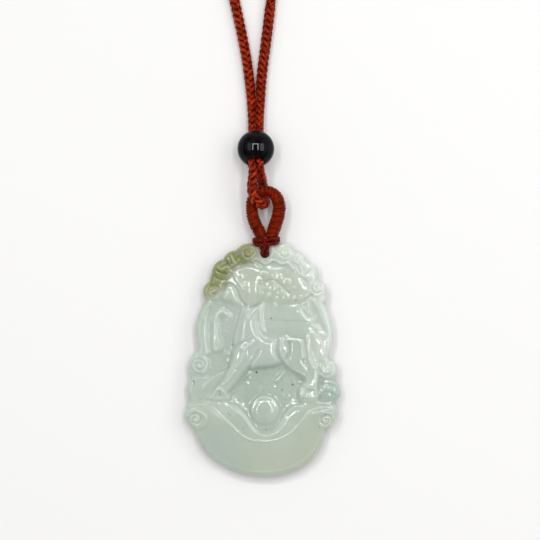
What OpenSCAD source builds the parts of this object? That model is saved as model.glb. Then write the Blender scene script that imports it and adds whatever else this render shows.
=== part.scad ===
// A carved jade pendant on a doubled, braided necklace cord, lying face up on a flat surface.
// The origin is the middle of the plaque's flat back, +Y runs to the nape and +Z is up.
// Sizes are in millimetres.

/* [Jade plaque] */
// Width of the plaque
plaque_w = 34; // [30:0.5:40]
// Height of the plaque
plaque_h = 50.7; // [46:0.1:60]
// Thickness from the flat back to the top of the highest relief
plaque_t = 7; // [6.4:0.1:9]
// Height of the carved ground above the flat back
ground_z = 4; // [3.4:0.1:4.4]
// How far the back's edge curls up along the sides and the foot
edge_rise = 0.6; // [0.3:0.1:0.9]
// How far the back's edge curls up at the top, where the cord passes behind it
nape_rise = 1.7; // [1.5:0.1:1.9]
// Width of the curled edge of the back
edge_in = 2.2; // [1.5:0.1:3]
// How much further the curled edge reaches down from the top
nape_in = 5.4; // [4.5:0.1:7]

/* [Hanging hole] */
// Diameter of the hole
hole_d = 2.3; // [2.2:0.1:2.8]
// Distance of the hole's middle below the plaque's top edge
hole_drop = 2.3; // [2.1:0.1:3]
// Distance of the hole's middle to the right of the plaque's middle
hole_right = 0.5; // [0:0.1:1]

/* [Bail cord] */
// Diameter of one strand of the doubled bail cord
bail_d = 0.93; // [0.8:0.01:1]

/* [Wrapped ring] */
// Thickness of the wound ring
ring_wire_d = 2.7; // [2.4:0.1:2.9]
// Width of the ring outside
ring_w = 8.8; // [8.4:0.1:10.5]
// Height of the ring outside
ring_h = 11.1; // [10.6:0.1:13]
// Distance from the plaque's top edge up to the ring's lower ends
ring_gap = 1.5; // [1.4:0.1:2.4]

/* [Bead] */
// Diameter of the bead
bead_d = 8; // [7.4:0.1:9]
// Diameter of its bore
bore_d = 3.6; // [3.4:0.1:4.2]
// Distance from the ring's top up to the middle of the bead
bead_gap = 7.8; // [7.4:0.1:12]
// How far the bead's lower mouth turns up to the front, in degrees
bead_tilt = 30; // [20:1:32]
// Distance of the bead's middle to the left of the hanging hole
bead_left = 1.95; // [1.8:0.05:2.1]

/* [Necklace cord] */
// Diameter of the braided cord
cord_d = 2.3; // [1.8:0.1:2.4]
// Clearance between neighbouring pieces
clear = 0.1; // [0.06:0.01:0.12]

/* [Hidden] */

// The carving is laid out on a grid of squares over the plaque's front, counted across from its left edge and
// down from its top edge. Every place and radius in the carving's tables is in these squares.
grid_across = 157;
grid_down = 234;
// Cells of the net that carries the carving
net_across = 58;
net_down = 82;
// How far a row of the net may bend away from its middle, in grid squares
row_margin = 25;
// How many times the net's inner nodes are evened out
net_evened = 10;
// How much wider a carved form is at its foot than its radius
foot_spread = 1.15;
// How far the front's rim lies under the ground
edge_drop = 0.7;
// How sharply the back's edge curls up towards the top
nape_power = 6;

// The plaque's scalloped outline, anticlockwise from the hanging hole. Columns: across, down, and the bulge of
// the arc to the next row as a share of its chord.
OUTLINE = [
    [70, 1, 0.17], [52, 7.4, 0.175], [39.3, 16.3, 0.08], [31.4, 20.8, 0.08], [27.8, 29, 0], [25.4, 38.7, 0.26],
    [22, 57, 0.045], [11.5, 83, 0.015], [13.8, 103, 0], [13, 108.5, 0.205], [7, 135, 0.18],
    [5.9, 155.3, 0.02], [0.2, 171, 0.115], [9, 184.3, 0], [11, 187, 0.05], [15.8, 200.6, 0.036],
    [26.6, 214.2, 0.03], [48.2, 227.2, 0.05], [73, 233.4, 0.04], [96, 232.8, 0.03], [117.3, 225.5, 0.045],
    [132.6, 212, 0.033], [140, 197.2, 0.02], [141.2, 186.6, 0.12], [152, 177, 0.17], [151.2, 160.3, -0.12],
    [156.7, 153.5, 0.09], [151.4, 136.8, 0.135], [151.9, 120.7, 0.14], [146.3, 117.2, 0], [144.1, 113, 0.122],
    [140.2, 60.5, 0.12], [141.5, 43.5, 0.15], [136.4, 39, 0], [133.7, 36.6, 0], [133.4, 32, 0.09],
    [131.7, 23.8, 0.09], [124.9, 19, 0], [121.9, 16.7, 0.19], [111, 7.5, 0.235], [92, 1, 0.02],
];
// Length of one step along the outline's arcs, in grid squares
outline_step = 2;
// The outline's rows at the net's corners: top left, lower left, lower right, top right, and round to top left
CORNERS = [3, 16, 21, 36, 44];

// The raised forms are round-backed bars. Columns: across, down, radius, and top as a share of the plaque's
// thickness.
CLOUDS = [
    [[64, 10, 8.5, 0.72], [47, 17, 9, 0.72], [37, 29, 10, 0.72], [34, 46, 9, 0.70]],
    [[101, 10, 8.5, 0.72], [115, 19, 9, 0.71], [123, 31, 10, 0.70], [131, 46, 9.5, 0.72]],
    [[74, 11, 6, 0.66], [88, 11, 6, 0.66]],
];
BEAST = [
    // Muzzle, brow and jaw
    [[49, 40, 8, 0.80], [58, 36, 11, 0.87], [66, 32, 8, 0.84]],
    [[47, 48, 9, 0.76], [58, 50, 12, 0.83], [68, 50, 9, 0.80]],
    // Upper and lower fold of the curled horn
    [[82, 31, 7, 0.82], [92, 36, 9, 0.85], [101, 44, 7, 0.82]],
    [[80, 47, 8, 0.85], [94, 53, 9, 0.86], [109, 53, 8, 0.84], [122, 53, 5, 0.78], [130, 50, 2.5, 0.72]],
    // Neck and chest
    [[66, 62, 7, 0.82], [63, 74, 9, 0.87], [62, 92, 11, 0.92], [70, 104, 14, 0.94]],
    // Back, barrel and belly
    [[76, 84, 6, 0.72], [88, 90, 11, 0.82], [104, 90, 11, 0.84], [124, 94, 11, 0.82]],
    [[72, 110, 13, 0.92], [86, 111, 12, 0.86], [98, 104, 9, 0.82]],
    // Thigh and hind leg
    [[112, 110, 13, 0.95], [119, 122, 11, 0.90], [126, 134, 8, 0.84], [125, 148, 9, 0.80]],
    // Shoulder and stretched foreleg
    [[68, 110, 11, 0.97], [60, 122, 9, 0.92], [50, 134, 8, 0.86], [38, 146, 8.5, 0.80]],
    // Tail
    [[125, 87, 4, 0.86], [133, 93, 4, 0.88], [136, 101, 4, 0.86], [130, 107, 4, 0.86]],
];
RIBBONS = [
    // Left and right streamers along the edge
    [[25, 62, 5, 0.72], [18.5, 75, 6, 0.74], [17.5, 90, 6, 0.74], [19, 107, 6, 0.70]],
    [[133, 60, 6, 0.72], [139, 74, 6, 0.74], [142, 90, 5.5, 0.74], [140, 110, 5, 0.70]],
    // Curled end of the left streamer
    [[33, 106, 4, 0.80], [32.5, 80, 4, 0.82], [35, 71, 4, 0.82], [43, 72, 4, 0.80]],
    // Rock under the forefoot and the lobes beside it
    [[14, 146, 9, 0.72], [28, 145, 8, 0.70], [36, 136, 6, 0.68]],
    [[146, 149, 9, 0.72], [141, 142, 7, 0.68]],
];
// The wave's two crests and the domed foot below them
WAVES = [
    [[4, 167, 3.5, 0.80], [10, 163, 4.5, 0.86], [19, 161.5, 4.5, 0.86], [31, 167, 4.5, 0.86],
     [45, 180, 4.5, 0.86], [59, 193, 4.5, 0.86], [70, 197.5, 4.5, 0.86], [82, 198.5, 4.5, 0.86],
     [96, 195.5, 4.5, 0.86],
     [112, 184, 4.5, 0.86], [124, 170, 4.5, 0.86], [135, 164.5, 4.5, 0.86], [147, 166, 3.5, 0.82]],
    [[38, 158, 3.5, 0.76], [53, 163, 4, 0.80], [64, 174, 4, 0.82], [72, 185, 4, 0.80], [91, 185, 4, 0.80],
     [100, 171, 4, 0.82], [111, 162, 4, 0.80], [118, 160, 3.5, 0.76]],
    [[30, 185, 14, 0.76], [52, 206, 20, 0.80], [80, 212, 20, 0.82], [108, 206, 20, 0.80],
     [124, 188, 14, 0.76]],
];
// The ball in the wave's hollow. Columns: across, down, radius, top.
BALL = [81, 167, 14, 0.86];
// Bosses of curled hair on the horn and the eye, with the same columns
BOSSES = [
    [80.5, 29, 4, 0.90], [90, 33, 4, 0.91], [101, 38, 4, 0.90], [82, 42, 4, 0.91], [92, 48, 4, 0.92],
    [103, 54, 4, 0.91], [60.3, 34, 4, 0.94],
];
// Scrolls on the rim, each a dome with a knob on it, with the same columns
SCROLLS = [
    [63.5, 9.5, 8, 0.76], [101, 9.5, 8, 0.76], [133.5, 45, 8, 0.77], [28, 47.5, 7, 0.76],
    [15.5, 122, 10, 0.77], [143, 126.5, 9, 0.77], [12, 176, 10.5, 0.84], [141, 178, 9.5, 0.84],
];
// Radius of a scroll's knob as a share of the scroll's radius, and how far the dome lies under it
knob_share = 0.55;
knob_rise = 0.07;
// How far the back's edge lies inside the front's rim
edge_bevel = 0.3;

// The ring's centreline, from its lower left end over the top to its lower right end, with the origin halfway
// between those ends. Columns: x as a share of the centreline's width, y as a share of its height, and
// thickness as a share of the wire's.
RING = [
    [-0.20, 0.00, 0.80], [-0.37, 0.16, 0.90], [-0.50, 0.34, 0.93], [-0.56, 0.56, 0.93], [-0.55, 0.76, 0.93],
    [-0.46, 0.90, 0.95], [-0.28, 0.985, 0.97], [-0.04, 1.00, 1.00], [0.18, 0.945, 1.03], [0.35, 0.83, 1.06],
    [0.42, 0.65, 1.07], [0.375, 0.43, 1.07], [0.275, 0.22, 1.00], [0.175, 0.05, 0.78],
];
// Distance from the hole's axis to the ring's own middle
ring_shift = 0.55;
// How much lower the ring's ends hang than its top
ring_dip = 0.35;
// The row of RING at the ring's upper left corner, where the necklace cord passes over it
CORNER_ROW = 5;

// One side of the bail's lark's head, from the ring's end over the front, through the hole, up the back and
// round to the front again, where it meets the other side. Columns: x, y and z as multiples of the bail strand's
// diameter, x from the hole's axis, y from the plaque's top edge and z from the station's own level; the
// station; the direction of the pair's wide side; the pair's two thicknesses in strand diameters; and the row's
// share of the band's shift to the right.
// Stations: 1 the plaque's front at the hole, 2 the hole, 3 the surface that the plaque lies on.
BAIL = [
    [0.62, 0.00, 0.10, 1, [1, 0], 1.00, 1.40, 0],
    [0.55, -1.20, 0.55, 1, [1, 0], 1.00, 1.40, 0],
    [0.55, -2.25, 0.25, 1, [1, 0], 1.00, 1.30, 0],
    [0.54, -2.48, -1.30, 1, [1, 0], 1.00, 1.40, 0],
    [0.56, -2.45, 2.40, 3, [1, 0], 1.00, 1.40, 0],
    [0.62, -2.10, 0.95, 3, [1, 0], 1.05, 1.10, 0],
    [1.05, -1.00, 0.58, 3, [1, 0], 1.90, 0.95, 0.3],
    [1.35, 0.20, 0.60, 3, [0.9, -0.45], 1.90, 0.95, 0.8],
    [2.05, 0.80, 1.30, 3, [0.3, -0.95], 1.55, 0.95, 1],
    [2.75, 0.75, 3.20, 3, [0, -1], 1.25, 0.95, 1],
    [2.70, 0.58, 0.10, 1, [0, -1], 1.50, 0.95, 1],
    [2.05, 0.24, 1.20, 1, [0, -1], 1.95, 0.95, 1],
    [1.10, 0.15, 1.60, 1, [0, -1], 2.00, 0.95, 1],
];
// How far the bail's band sits to the right of the hole
band_shift = 0.3;
// Thickness of the pair where it leaves the ring's end, in strand diameters, and the length of its straight bit
tail_thick = 1.3;
tail_length = 0.5;
bail_sides = 8;
ring_sides = 10;

// The necklace cord's strand on its way from the bead down to the ring, and the strand behind it on its way
// back up. Columns: x from the bead's middle in cord diameters, y as a share of the way from the bead's lower
// mouth to the ring's corner, z over the ring's top in cord diameters, and the strand's width as a share of its
// diameter.
FRONT_STRAND = [[-0.31, 0.18, 1.15, 0.76], [-0.31, 0.47, 1.30, 0.95], [-0.36, 0.76, 1.22, 1]];
REAR_STRAND = [[0.62, 0.67, -1.00, 1], [0.58, 0.555, -0.54, 1], [0.53, 0.45, 0.15, 0.95],
               [0.47, 0.33, 0.80, 0.85], [0.43, 0.155, 1.09, 0.76]];
// The bight between them, over the ring's corner, down through its window and up behind its top. Columns: x, y
// and z from the ring's corner, as shares of the distance that keeps the cord clear of the ring.
BIGHT = [[-0.08, -0.03, 1.01], [0.06, -0.33, 0.96], [0.31, -0.60, 0.80], [0.58, -0.74, 0.47],
         [0.78, -0.72, 0.02], [0.85, -0.55, -0.43], [0.83, -0.26, -0.77], [0.77, 0.05, -0.95], [0.735, 0.354, -1]];
// The two legs above the bead. Columns: y from the bead's upper mouth and x from its middle to the left and to
// the right, in cord diameters; height, as a share of the way from the mouth down to the surface; and width.
LEGS = [
    [1.35, -0.385, 0.385, 0.60, 0.73], [2.50, -0.42, 0.42, 0.92, 0.80], [3.75, -0.48, 0.47, 1, 0.90],
    [5.10, -0.60, 0.52, 1, 1],
];
// The rest of the necklace cord's route, which goes up the left leg, round the neck and down the right leg.
// Columns: x and y from the bead's middle. The places are chosen by hand: the legs leave the bead as in the
// photograph and the rest lies plainly on the surface.
NECK = [
    [-1.9, 18.8], [-2.7, 23.3], [-4.7, 32.6], [-12.2, 64.5], [-21.8, 103], [-33, 142.5], [-44, 177],
    [-53, 206.5], [-57, 226.5], [-56, 246.5], [-49, 262], [-35.5, 272], [-14, 276], [8.5, 274], [23, 266],
    [32, 251], [35, 231], [33, 211], [27, 180.5], [19, 145], [12, 104.5], [6.8, 64.5], [3.3, 32.6],
    [2.2, 23.3], [1.6, 18.8],
];
// Steps of the smooth curve over each of the neck's stretches
neck_steps = 2;
cord_sides = 8;

plaque_top = plaque_h / 2;
hole_at = [hole_right, plaque_top - hole_drop];
ring_line_w = ring_w - ring_wire_d;
ring_line_h = ring_h - ring_wire_d / 2;
// The ring's top rests on the necklace cord's rear strand, and its lower ends hang a little lower
ring_top_z = cord_d + clear + ring_wire_d / 2;
ring_end_z = ring_top_z - ring_dip;
ring_end_y = plaque_top + ring_gap;
ring_top_y = ring_end_y + ring_line_h;
ring_x = hole_at[0] + ring_shift;
ring_corner = [ring_x + RING[CORNER_ROW][0] * ring_line_w, ring_end_y + RING[CORNER_ROW][1] * ring_line_h];
// The hole's collar stands this high, as a share of the plaque's thickness
collar_share = 0.66;
collar_z = collar_share * plaque_t;

// The bead lies on the surface, and the two strands are squeezed side by side in its bore
bead_at = [hole_at[0] - bead_left, ring_top_y + ring_wire_d / 2 + bead_gap, bead_d / 2];
strand_gap = 0.1;
bore_room = bore_d - 2 * clear;
bore_share_w = (bore_room - strand_gap) / 2 / cord_d;
// Depth of a squeezed strand as a share of the bore's room
squeezed_deep = 0.66;
bore_share_h = squeezed_deep * bore_room / cord_d;
strand_off = (bore_room + strand_gap) / 4;
bore_half = sqrt(pow(bead_d / 2, 2) - pow(bore_d / 2, 2));
// Where a strand passes the bore's mouths: side is -1 for the left strand, and way is 1 for the upper mouth
function mouth(side, way) =
    bead_at + [side * strand_off, way * bore_half * cos(bead_tilt), -way * bore_half * sin(bead_tilt)];

// Distance that keeps the cord clear of the ring, and the cord's height on the surface
bight_r = ring_wire_d / 2 + cord_d / 2 + clear;
cord_z = cord_d / 2;

function unit(v) = v / norm(v);
function on_grid(across, down) =
    [(across / grid_across - 0.5) * plaque_w, (0.5 - down / grid_down) * plaque_h];

// Points of the arc from a to b, without b, that bulges to the right of the way by a share of its chord
function arc(a, b, bulge, steps) =
    let (chord = norm(b - a), along = (b - a) / chord, out = [along[1], -along[0]])
    [for (i = [0:steps - 1])
        let (s = i / steps) a + along * chord * s - out * chord * bulge * 4 * s * (1 - s)];
// A solid skin through rings of equally many points, closed at both ends or joined end to end
function skin_faces(rings, sides, joined) = concat(
    [for (i = [0:rings - (joined ? 1 : 2)])
        let (shift = joined && i == rings - 1 ? sides / 2 : 0)
        for (j = [0:sides - 1])
            [(i + 1) % rings * sides + (j + shift) % sides, (i + 1) % rings * sides + (j + 1 + shift) % sides,
             i * sides + (j + 1) % sides, i * sides + j]],
    joined ? [] : [[for (j = [0:sides - 1]) j], [for (j = [sides - 1:-1:0]) (rings - 1) * sides + j]]
);

// A smooth curve through the points of a route, with so many steps between two of them
function curve_point(a, b, c, d, s) =
    0.5 * (2 * b + (c - a) * s + (2 * a - 5 * b + 4 * c - d) * s * s + (3 * b - a - 3 * c + d) * s * s * s);

function tangent(points, i, joined) =
    let (n = len(points))
    joined ? unit(points[(i + 1) % n] - points[(i + n - 1) % n])
           : unit(points[min(i + 1, n - 1)] - points[max(i - 1, 0)]);

// The cord's side direction at each point, carried along without twist
function carried(tangents, first) = [
    for (i = 0, side = unit(first - (first * tangents[0]) * tangents[0]); i < len(tangents);
         i = i + 1,
         side = i < len(tangents) ? unit(side - (side * tangents[i]) * tangents[i]) : side)
        side
];

// Rings of an oval section. Each row of sizes holds the section's width and its depth.
function oval_rings(points, tangents, sides_dirs, sizes, sides) = [
    for (i = [0:len(points) - 1])
        let (across = sides_dirs[i], up = cross(tangents[i], across))
        for (j = [0:sides - 1])
            let (angle = 360 * j / sides)
            points[i] + across * cos(angle) * sizes[i][0] / 2 + up * sin(angle) * sizes[i][1] / 2
];

// The outline's stretch between two of its rows, as points on the plaque
function stretch(first, last) =
    let (n = len(OUTLINE), end = OUTLINE[last % n])
    concat(
        [for (i = [first:last - 1])
            let (
                a = OUTLINE[i % n],
                b = OUTLINE[(i + 1) % n],
                steps = max(1, ceil(norm([b[0] - a[0], b[1] - a[1]]) / outline_step))
            )
            each arc([a[0], a[1]], [b[0], b[1]], a[2], steps)],
        [[end[0], end[1]]]
    );

// So many evenly spaced points along a line of points
function evenly(points, steps) =
    let (
        reach = [for (i = 0, sum = 0; i < len(points);
                      i = i + 1, sum = i < len(points) ? sum + norm(points[i] - points[i - 1]) : sum) sum],
        length = reach[len(points) - 1],
        xs = [for (i = [0:len(points) - 1]) [reach[i], points[i][0]]],
        ys = [for (i = [0:len(points) - 1]) [reach[i], points[i][1]]]
    )
    [for (i = [0:steps]) let (at = length * i / steps) [lookup(at, xs), lookup(at, ys)]];
function backwards(list) = [for (i = [len(list) - 1:-1:0]) list[i]];

// The pieces of a form's route: each joins two of its rows, and a form of one row is a dome
function pieces(rows) =
    len(rows) == 1 ? [[rows[0], rows[0]]] : [for (i = [0:len(rows) - 2]) [rows[i], rows[i + 1]]];

// The two rows of a scroll: its dome and its knob
function dome_row(row) = [row[0], row[1], row[2], row[3] - knob_rise];
function knob_row(row) = [row[0], row[1], row[2] * knob_share, row[3]];

// Height over the ground that a piece of a form gives to a place on the grid
function rise(place, piece) =
    let (
        a = piece[0],
        b = piece[1],
        way = [b[0] - a[0], b[1] - a[1]],
        from_a = [place[0] - a[0], place[1] - a[1]],
        length2 = way * way,
        s = length2 == 0 ? 0 : max(0, min(1, from_a * way / length2)),
        off = from_a - way * s,
        radius = (a[2] + (b[2] - a[2]) * s) * foot_spread
    )
    ((a[3] + (b[3] - a[3]) * s) * plaque_t - ground_z) * (1 - off * off / (radius * radius));
function reaches(piece, down, margin) =
    let (radius = max(piece[0][2], piece[1][2]) * foot_spread)
    min(piece[0][1], piece[1][1]) - radius < down + margin &&
    max(piece[0][1], piece[1][1]) + radius > down - margin;

// The plaque's front is a net of nodes stretched between the four stretches of its outline. Its heights are
// the highest of the carved forms at each node.
module carved_body() {
    domes = concat([BALL], BOSSES, [for (row = SCROLLS) dome_row(row)], [for (row = SCROLLS) knob_row(row)]);
    forms = concat(CLOUDS, BEAST, RIBBONS, WAVES, [for (row = domes) [row]]);
    all_pieces = [for (form = forms) each pieces(form)];
    left = evenly(stretch(CORNERS[0], CORNERS[1]), net_down);
    foot = evenly(stretch(CORNERS[1], CORNERS[2]), net_across);
    right = backwards(evenly(stretch(CORNERS[2], CORNERS[3]), net_down));
    top = backwards(evenly(stretch(CORNERS[3], CORNERS[4]), net_across));
    wide = net_across + 1;
    function net_place(u, v, i, j) =
        (1 - v) * top[i] + v * foot[i] + (1 - u) * left[j] + u * right[j]
        - (1 - u) * (1 - v) * top[0] - u * (1 - v) * top[net_across]
        - (1 - u) * v * foot[0] - u * v * foot[net_across];
    function on_edge(i, j) = i == 0 || i == net_across || j == 0 || j == net_down;
    function evened(places, times) =
        times == 0 ? places : evened([
            for (j = [0:net_down])
                for (i = [0:net_across])
                    let (k = j * wide + i)
                    on_edge(i, j) ? places[k]
                        : (places[k - 1] + places[k + 1] + places[k - wide] + places[k + wide]) / 4
        ], times - 1);
    places = evened([
        for (j = [0:net_down])
            for (i = [0:net_across])
                net_place(i / net_across, j / net_down, i, j)
    ], net_evened);
    net = [
        for (j = [0:net_down])
            let (
                middle = places[j * wide + floor(net_across / 2)][1],
                near = [for (piece = all_pieces) if (reaches(piece, middle, row_margin)) piece]
            )
            for (i = [0:net_across])
                let (
                    place = places[j * wide + i],
                    high = on_edge(i, j) ? -edge_drop : max([0, for (piece = near) rise(place, piece)])
                )
                concat(on_grid(place[0], place[1]), ground_z + high)
    ];
    rim = concat(
        [for (j = [0:net_down - 1]) j * wide],
        [for (i = [0:net_across - 1]) net_down * wide + i],
        [for (j = [net_down:-1:1]) j * wide + net_across],
        [for (i = [net_across:-1:1]) i]
    );
    n = len(rim);
    function shrunk(p, by) = [p[0] * (1 - 2 * by / plaque_w), p[1] * (1 - 2 * by / plaque_h)];
    function up_share(p) = max(0, p[1] / plaque_top);
    function back_z(p) = edge_rise + (nape_rise - edge_rise) * pow(up_share(p), nape_power);
    back = concat(
        [for (k = rim) let (p = net[k], q = shrunk(p, edge_bevel)) [q[0], q[1], back_z(p)]],
        [for (k = rim) let (p = net[k], q = shrunk(p, edge_in)) [q[0], q[1] - nape_in * up_share(p), 0]]
    );
    first = len(net);
    front_faces = [
        for (j = [0:net_down - 1])
            for (i = [0:net_across - 1])
                let (a = j * wide + i, b = a + 1, c = a + wide, d = c + 1)
                each abs(net[a][2] - net[d][2]) < abs(net[b][2] - net[c][2])
                    ? [[a, b, d], [a, d, c]] : [[a, b, c], [b, d, c]]
    ];
    side_faces = [
        for (k = [0:n - 1])
            let (next = (k + 1) % n, a = rim[k], b = rim[next])
            each [[a, b, first + next], [a, first + next, first + k],
                  [first + k, first + next, first + n + next], [first + k, first + n + next, first + n + k]]
    ];
    flat_face = [for (k = [0:n - 1]) first + n + k];
    polyhedron(concat(net, back), concat(front_faces, side_faces, [flat_face]), convexity = 10);
}

module jade_plaque() {
    color([0.79, 0.86, 0.80])
        difference() {
            carved_body();
            translate([hole_at[0], hole_at[1], -plaque_t])
                cylinder(d = hole_d, h = 3 * plaque_t, $fn = 32);
        }
}

function ring_point(row) =
    [ring_x + row[0] * ring_line_w, ring_end_y + row[1] * ring_line_h,
     ring_end_z + (ring_top_z - ring_end_z) * row[1]];

// The two points of a bail tail's straight bit, which starts at the clearance from the ring's end face
function tail_points(end_row, next_row) =
    let (end = ring_point(end_row), out = unit(end - ring_point(next_row)))
    [end + out * clear / 2, end + out * tail_length];

module bail_cord() {
    levels = [0, collar_z, 0, 0];
    last = len(RING) - 1;
    function placed(side) = [
        for (row = BAIL)
            [hole_at[0] + side * row[0] * bail_d + row[7] * band_shift, plaque_top + row[1] * bail_d,
             levels[row[3]] + row[2] * bail_d]
    ];
    points = concat(
        tail_points(RING[last], RING[last - 1]), placed(1),
        backwards(placed(-1)), backwards(tail_points(RING[0], RING[1]))
    );
    tail = [[[1, 0], tail_thick, tail_thick], [[1, 0], tail_thick, tail_thick]];
    half = concat(tail, [for (row = BAIL) [row[4], row[5], row[6]]]);
    mirrored = [for (row = backwards(half)) [[-row[0][0], row[0][1]], row[1], row[2]]];
    shapes = concat(half, mirrored);
    tangents = [for (i = [0:len(points) - 1]) tangent(points, i, false)];
    wide = [for (i = [0:len(points) - 1])
        let (d = [shapes[i][0][0], shapes[i][0][1], 0]) unit(d - (d * tangents[i]) * tangents[i])];
    sizes = [for (row = shapes) [row[1], row[2]] * bail_d];
    color([0.42, 0.05, 0.05])
        polyhedron(oval_rings(points, tangents, wide, sizes, bail_sides),
                   skin_faces(len(points), bail_sides, false), convexity = 6);
}

module wrapped_ring() {
    points = [for (row = RING) ring_point(row)];
    tangents = [for (i = [0:len(points) - 1]) tangent(points, i, false)];
    up = [for (t = tangents) unit([0, 0, 1] - t[2] * t)];
    sizes = [for (row = RING) [row[2], row[2]] * ring_wire_d];
    color([0.50, 0.20, 0.08])
        polyhedron(oval_rings(points, tangents, up, sizes, ring_sides),
                   skin_faces(len(points), ring_sides, false), convexity = 6);
}

module bead() {
    color([0.04, 0.04, 0.05])
        translate(bead_at)
            rotate([90 - bead_tilt, 0, 0])
                difference() {
                    sphere(d = bead_d, $fn = 96);
                    cylinder(d = bore_d, h = 2 * bead_d, center = true, $fn = 64);
                }
}

// Rows of the cord's route: x, y, z, and the cord's width and depth as shares of its diameter
function mouth_row(side, way) = concat(mouth(side, way), bore_share_w, bore_share_h);
function link_rows(table, side) = [
    for (row = table)
        [bead_at[0] + row[0] * cord_d, mouth(side, -1)[1] + row[1] * (ring_corner[1] - mouth(side, -1)[1]),
         ring_top_z + row[2] * cord_d, row[3], 1]
];
function bight_rows() = [
    for (row = BIGHT)
        [ring_corner[0] + row[0] * bight_r, ring_corner[1] + row[1] * bight_r,
         ring_top_z + row[2] * bight_r, 1, 1]
];
function leg_rows(side) = [
    for (row = LEGS)
        [bead_at[0] + row[side > 0 ? 2 : 1] * cord_d, mouth(side, 1)[1] + row[0] * cord_d,
         mouth(side, 1)[2] + row[3] * (cord_z - mouth(side, 1)[2]), row[4], 1]
];
function neck_rows() = [for (p = NECK) [bead_at[0] + p[0], bead_at[1] + p[1], cord_z, 1, 1]];

module necklace_cord() {
    left = concat(link_rows(backwards(FRONT_STRAND), -1), [mouth_row(-1, -1), mouth_row(-1, 1)], leg_rows(-1));
    right = concat(backwards(leg_rows(1)), [mouth_row(1, 1), mouth_row(1, -1)],
                   link_rows(backwards(REAR_STRAND), 1));
    rows = concat(left, neck_rows(), right, backwards(bight_rows()));
    n = len(rows);
    first_neck = len(left) - 1;
    last_neck = len(left) + len(NECK) - 1;
    smooth = [
        for (i = [0:n - 1])
            let (steps = i >= first_neck && i <= last_neck ? neck_steps : 1)
            for (s = [0:steps - 1])
                curve_point(rows[(i + n - 1) % n], rows[i], rows[(i + 1) % n], rows[(i + 2) % n], s / steps)
    ];
    points = [for (r = smooth) [r[0], r[1], max(r[2], cord_z)]];
    tangents = [for (i = [0:len(points) - 1]) tangent(points, i, true)];
    sizes = [for (r = smooth) [r[3], r[4]] * cord_d];
    color([0.55, 0.14, 0.06])
        polyhedron(oval_rings(points, tangents, carried(tangents, [1, 0, 0]), sizes, cord_sides),
                   skin_faces(len(points), cord_sides, true), convexity = 10);
}

jade_plaque();
bail_cord();
wrapped_ring();
bead();
necklace_cord();
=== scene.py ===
import math

import bpy
import numpy as np
from mathutils import Matrix, Vector


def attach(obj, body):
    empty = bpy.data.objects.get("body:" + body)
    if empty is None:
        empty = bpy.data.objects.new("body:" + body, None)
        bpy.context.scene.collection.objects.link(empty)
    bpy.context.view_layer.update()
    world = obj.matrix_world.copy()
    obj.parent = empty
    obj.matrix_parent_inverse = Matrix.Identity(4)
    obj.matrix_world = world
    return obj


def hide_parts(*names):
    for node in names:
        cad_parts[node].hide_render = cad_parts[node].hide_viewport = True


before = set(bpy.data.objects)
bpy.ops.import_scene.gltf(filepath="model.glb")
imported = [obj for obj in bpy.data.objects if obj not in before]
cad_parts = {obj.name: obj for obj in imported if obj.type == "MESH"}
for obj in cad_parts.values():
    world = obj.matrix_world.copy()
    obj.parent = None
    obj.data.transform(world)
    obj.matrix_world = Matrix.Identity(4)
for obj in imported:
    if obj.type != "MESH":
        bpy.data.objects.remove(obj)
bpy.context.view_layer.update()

MM = 0.001  # every size below is in millimetres, and Blender works in metres


# The camera
# The photographer stands over the table and looks straight down at the pendant, the bead and the first
# stretch of both cord legs. The rest of the neck cord lies beyond the picture's upper edge.
camera_height = 450
picture_side = 116.9      # the stretch of table that the square picture shows
object_level = 4          # height at which that stretch is measured
picture_middle = (1.62, 19.5)

camera_data = bpy.data.cameras.new("camera")
camera_data.sensor_width = 36
camera_data.lens = camera_data.sensor_width * (camera_height - object_level) / picture_side
camera_data.clip_start = 0.01
camera = bpy.data.objects.new("camera", camera_data)
camera.location = (picture_middle[0] * MM, picture_middle[1] * MM, camera_height * MM)
bpy.context.scene.collection.objects.link(camera)
bpy.context.scene.camera = camera


# The table and the light
# A plain white table top under an open frame of three bright ceiling strips, with a soft window at either
# side, the right one much nearer, and an even white fill.
def in_scene(obj):
    """Puts an object into the scene, and hands it back."""
    bpy.context.scene.collection.objects.link(obj)
    return obj


def new_material(name):
    """A material with only its Principled shader, and that shader."""
    material = bpy.data.materials.new(name)
    material.use_nodes = True
    return material, material.node_tree, material.node_tree.nodes["Principled BSDF"]


table_half = 3000
table_mesh = bpy.data.meshes.new("table_top")
table_mesh.from_pydata(
    [(x * table_half * MM, y * table_half * MM, -0.05 * MM) for x, y in ((-1, -1), (1, -1), (1, 1), (-1, 1))],
    [], [(0, 1, 2, 3)])
table_top = in_scene(bpy.data.objects.new("table_top", table_mesh))
table_material, _, table_shader = new_material("white_table")
table_shader.inputs["Base Color"].default_value = (0.768, 0.763, 0.758, 1)
table_shader.inputs["Roughness"].default_value = 0.8
table_shader.inputs["Specular IOR Level"].default_value = 0.2
table_mesh.materials.append(table_material)


def soft_light(name, place, size, watts):
    """A rectangular lamp that points at the jewel. Its second size lies along the table's length."""
    light = bpy.data.lights.new(name, "AREA")
    light.shape = "RECTANGLE"
    light.size, light.size_y = size[0] * MM, size[1] * MM
    light.energy = watts
    lamp = in_scene(bpy.data.objects.new(name, light))
    lamp.location = [c * MM for c in place]
    back = (Vector(place) - Vector((0, 15, 0))).normalized()
    across = Vector((0, 1, 0)).cross(back).normalized()
    lamp.rotation_mode = "QUATERNION"
    lamp.rotation_quaternion = Matrix((across, back.cross(across), back)).transposed().to_quaternion()
    lamp.visible_camera = False


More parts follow.
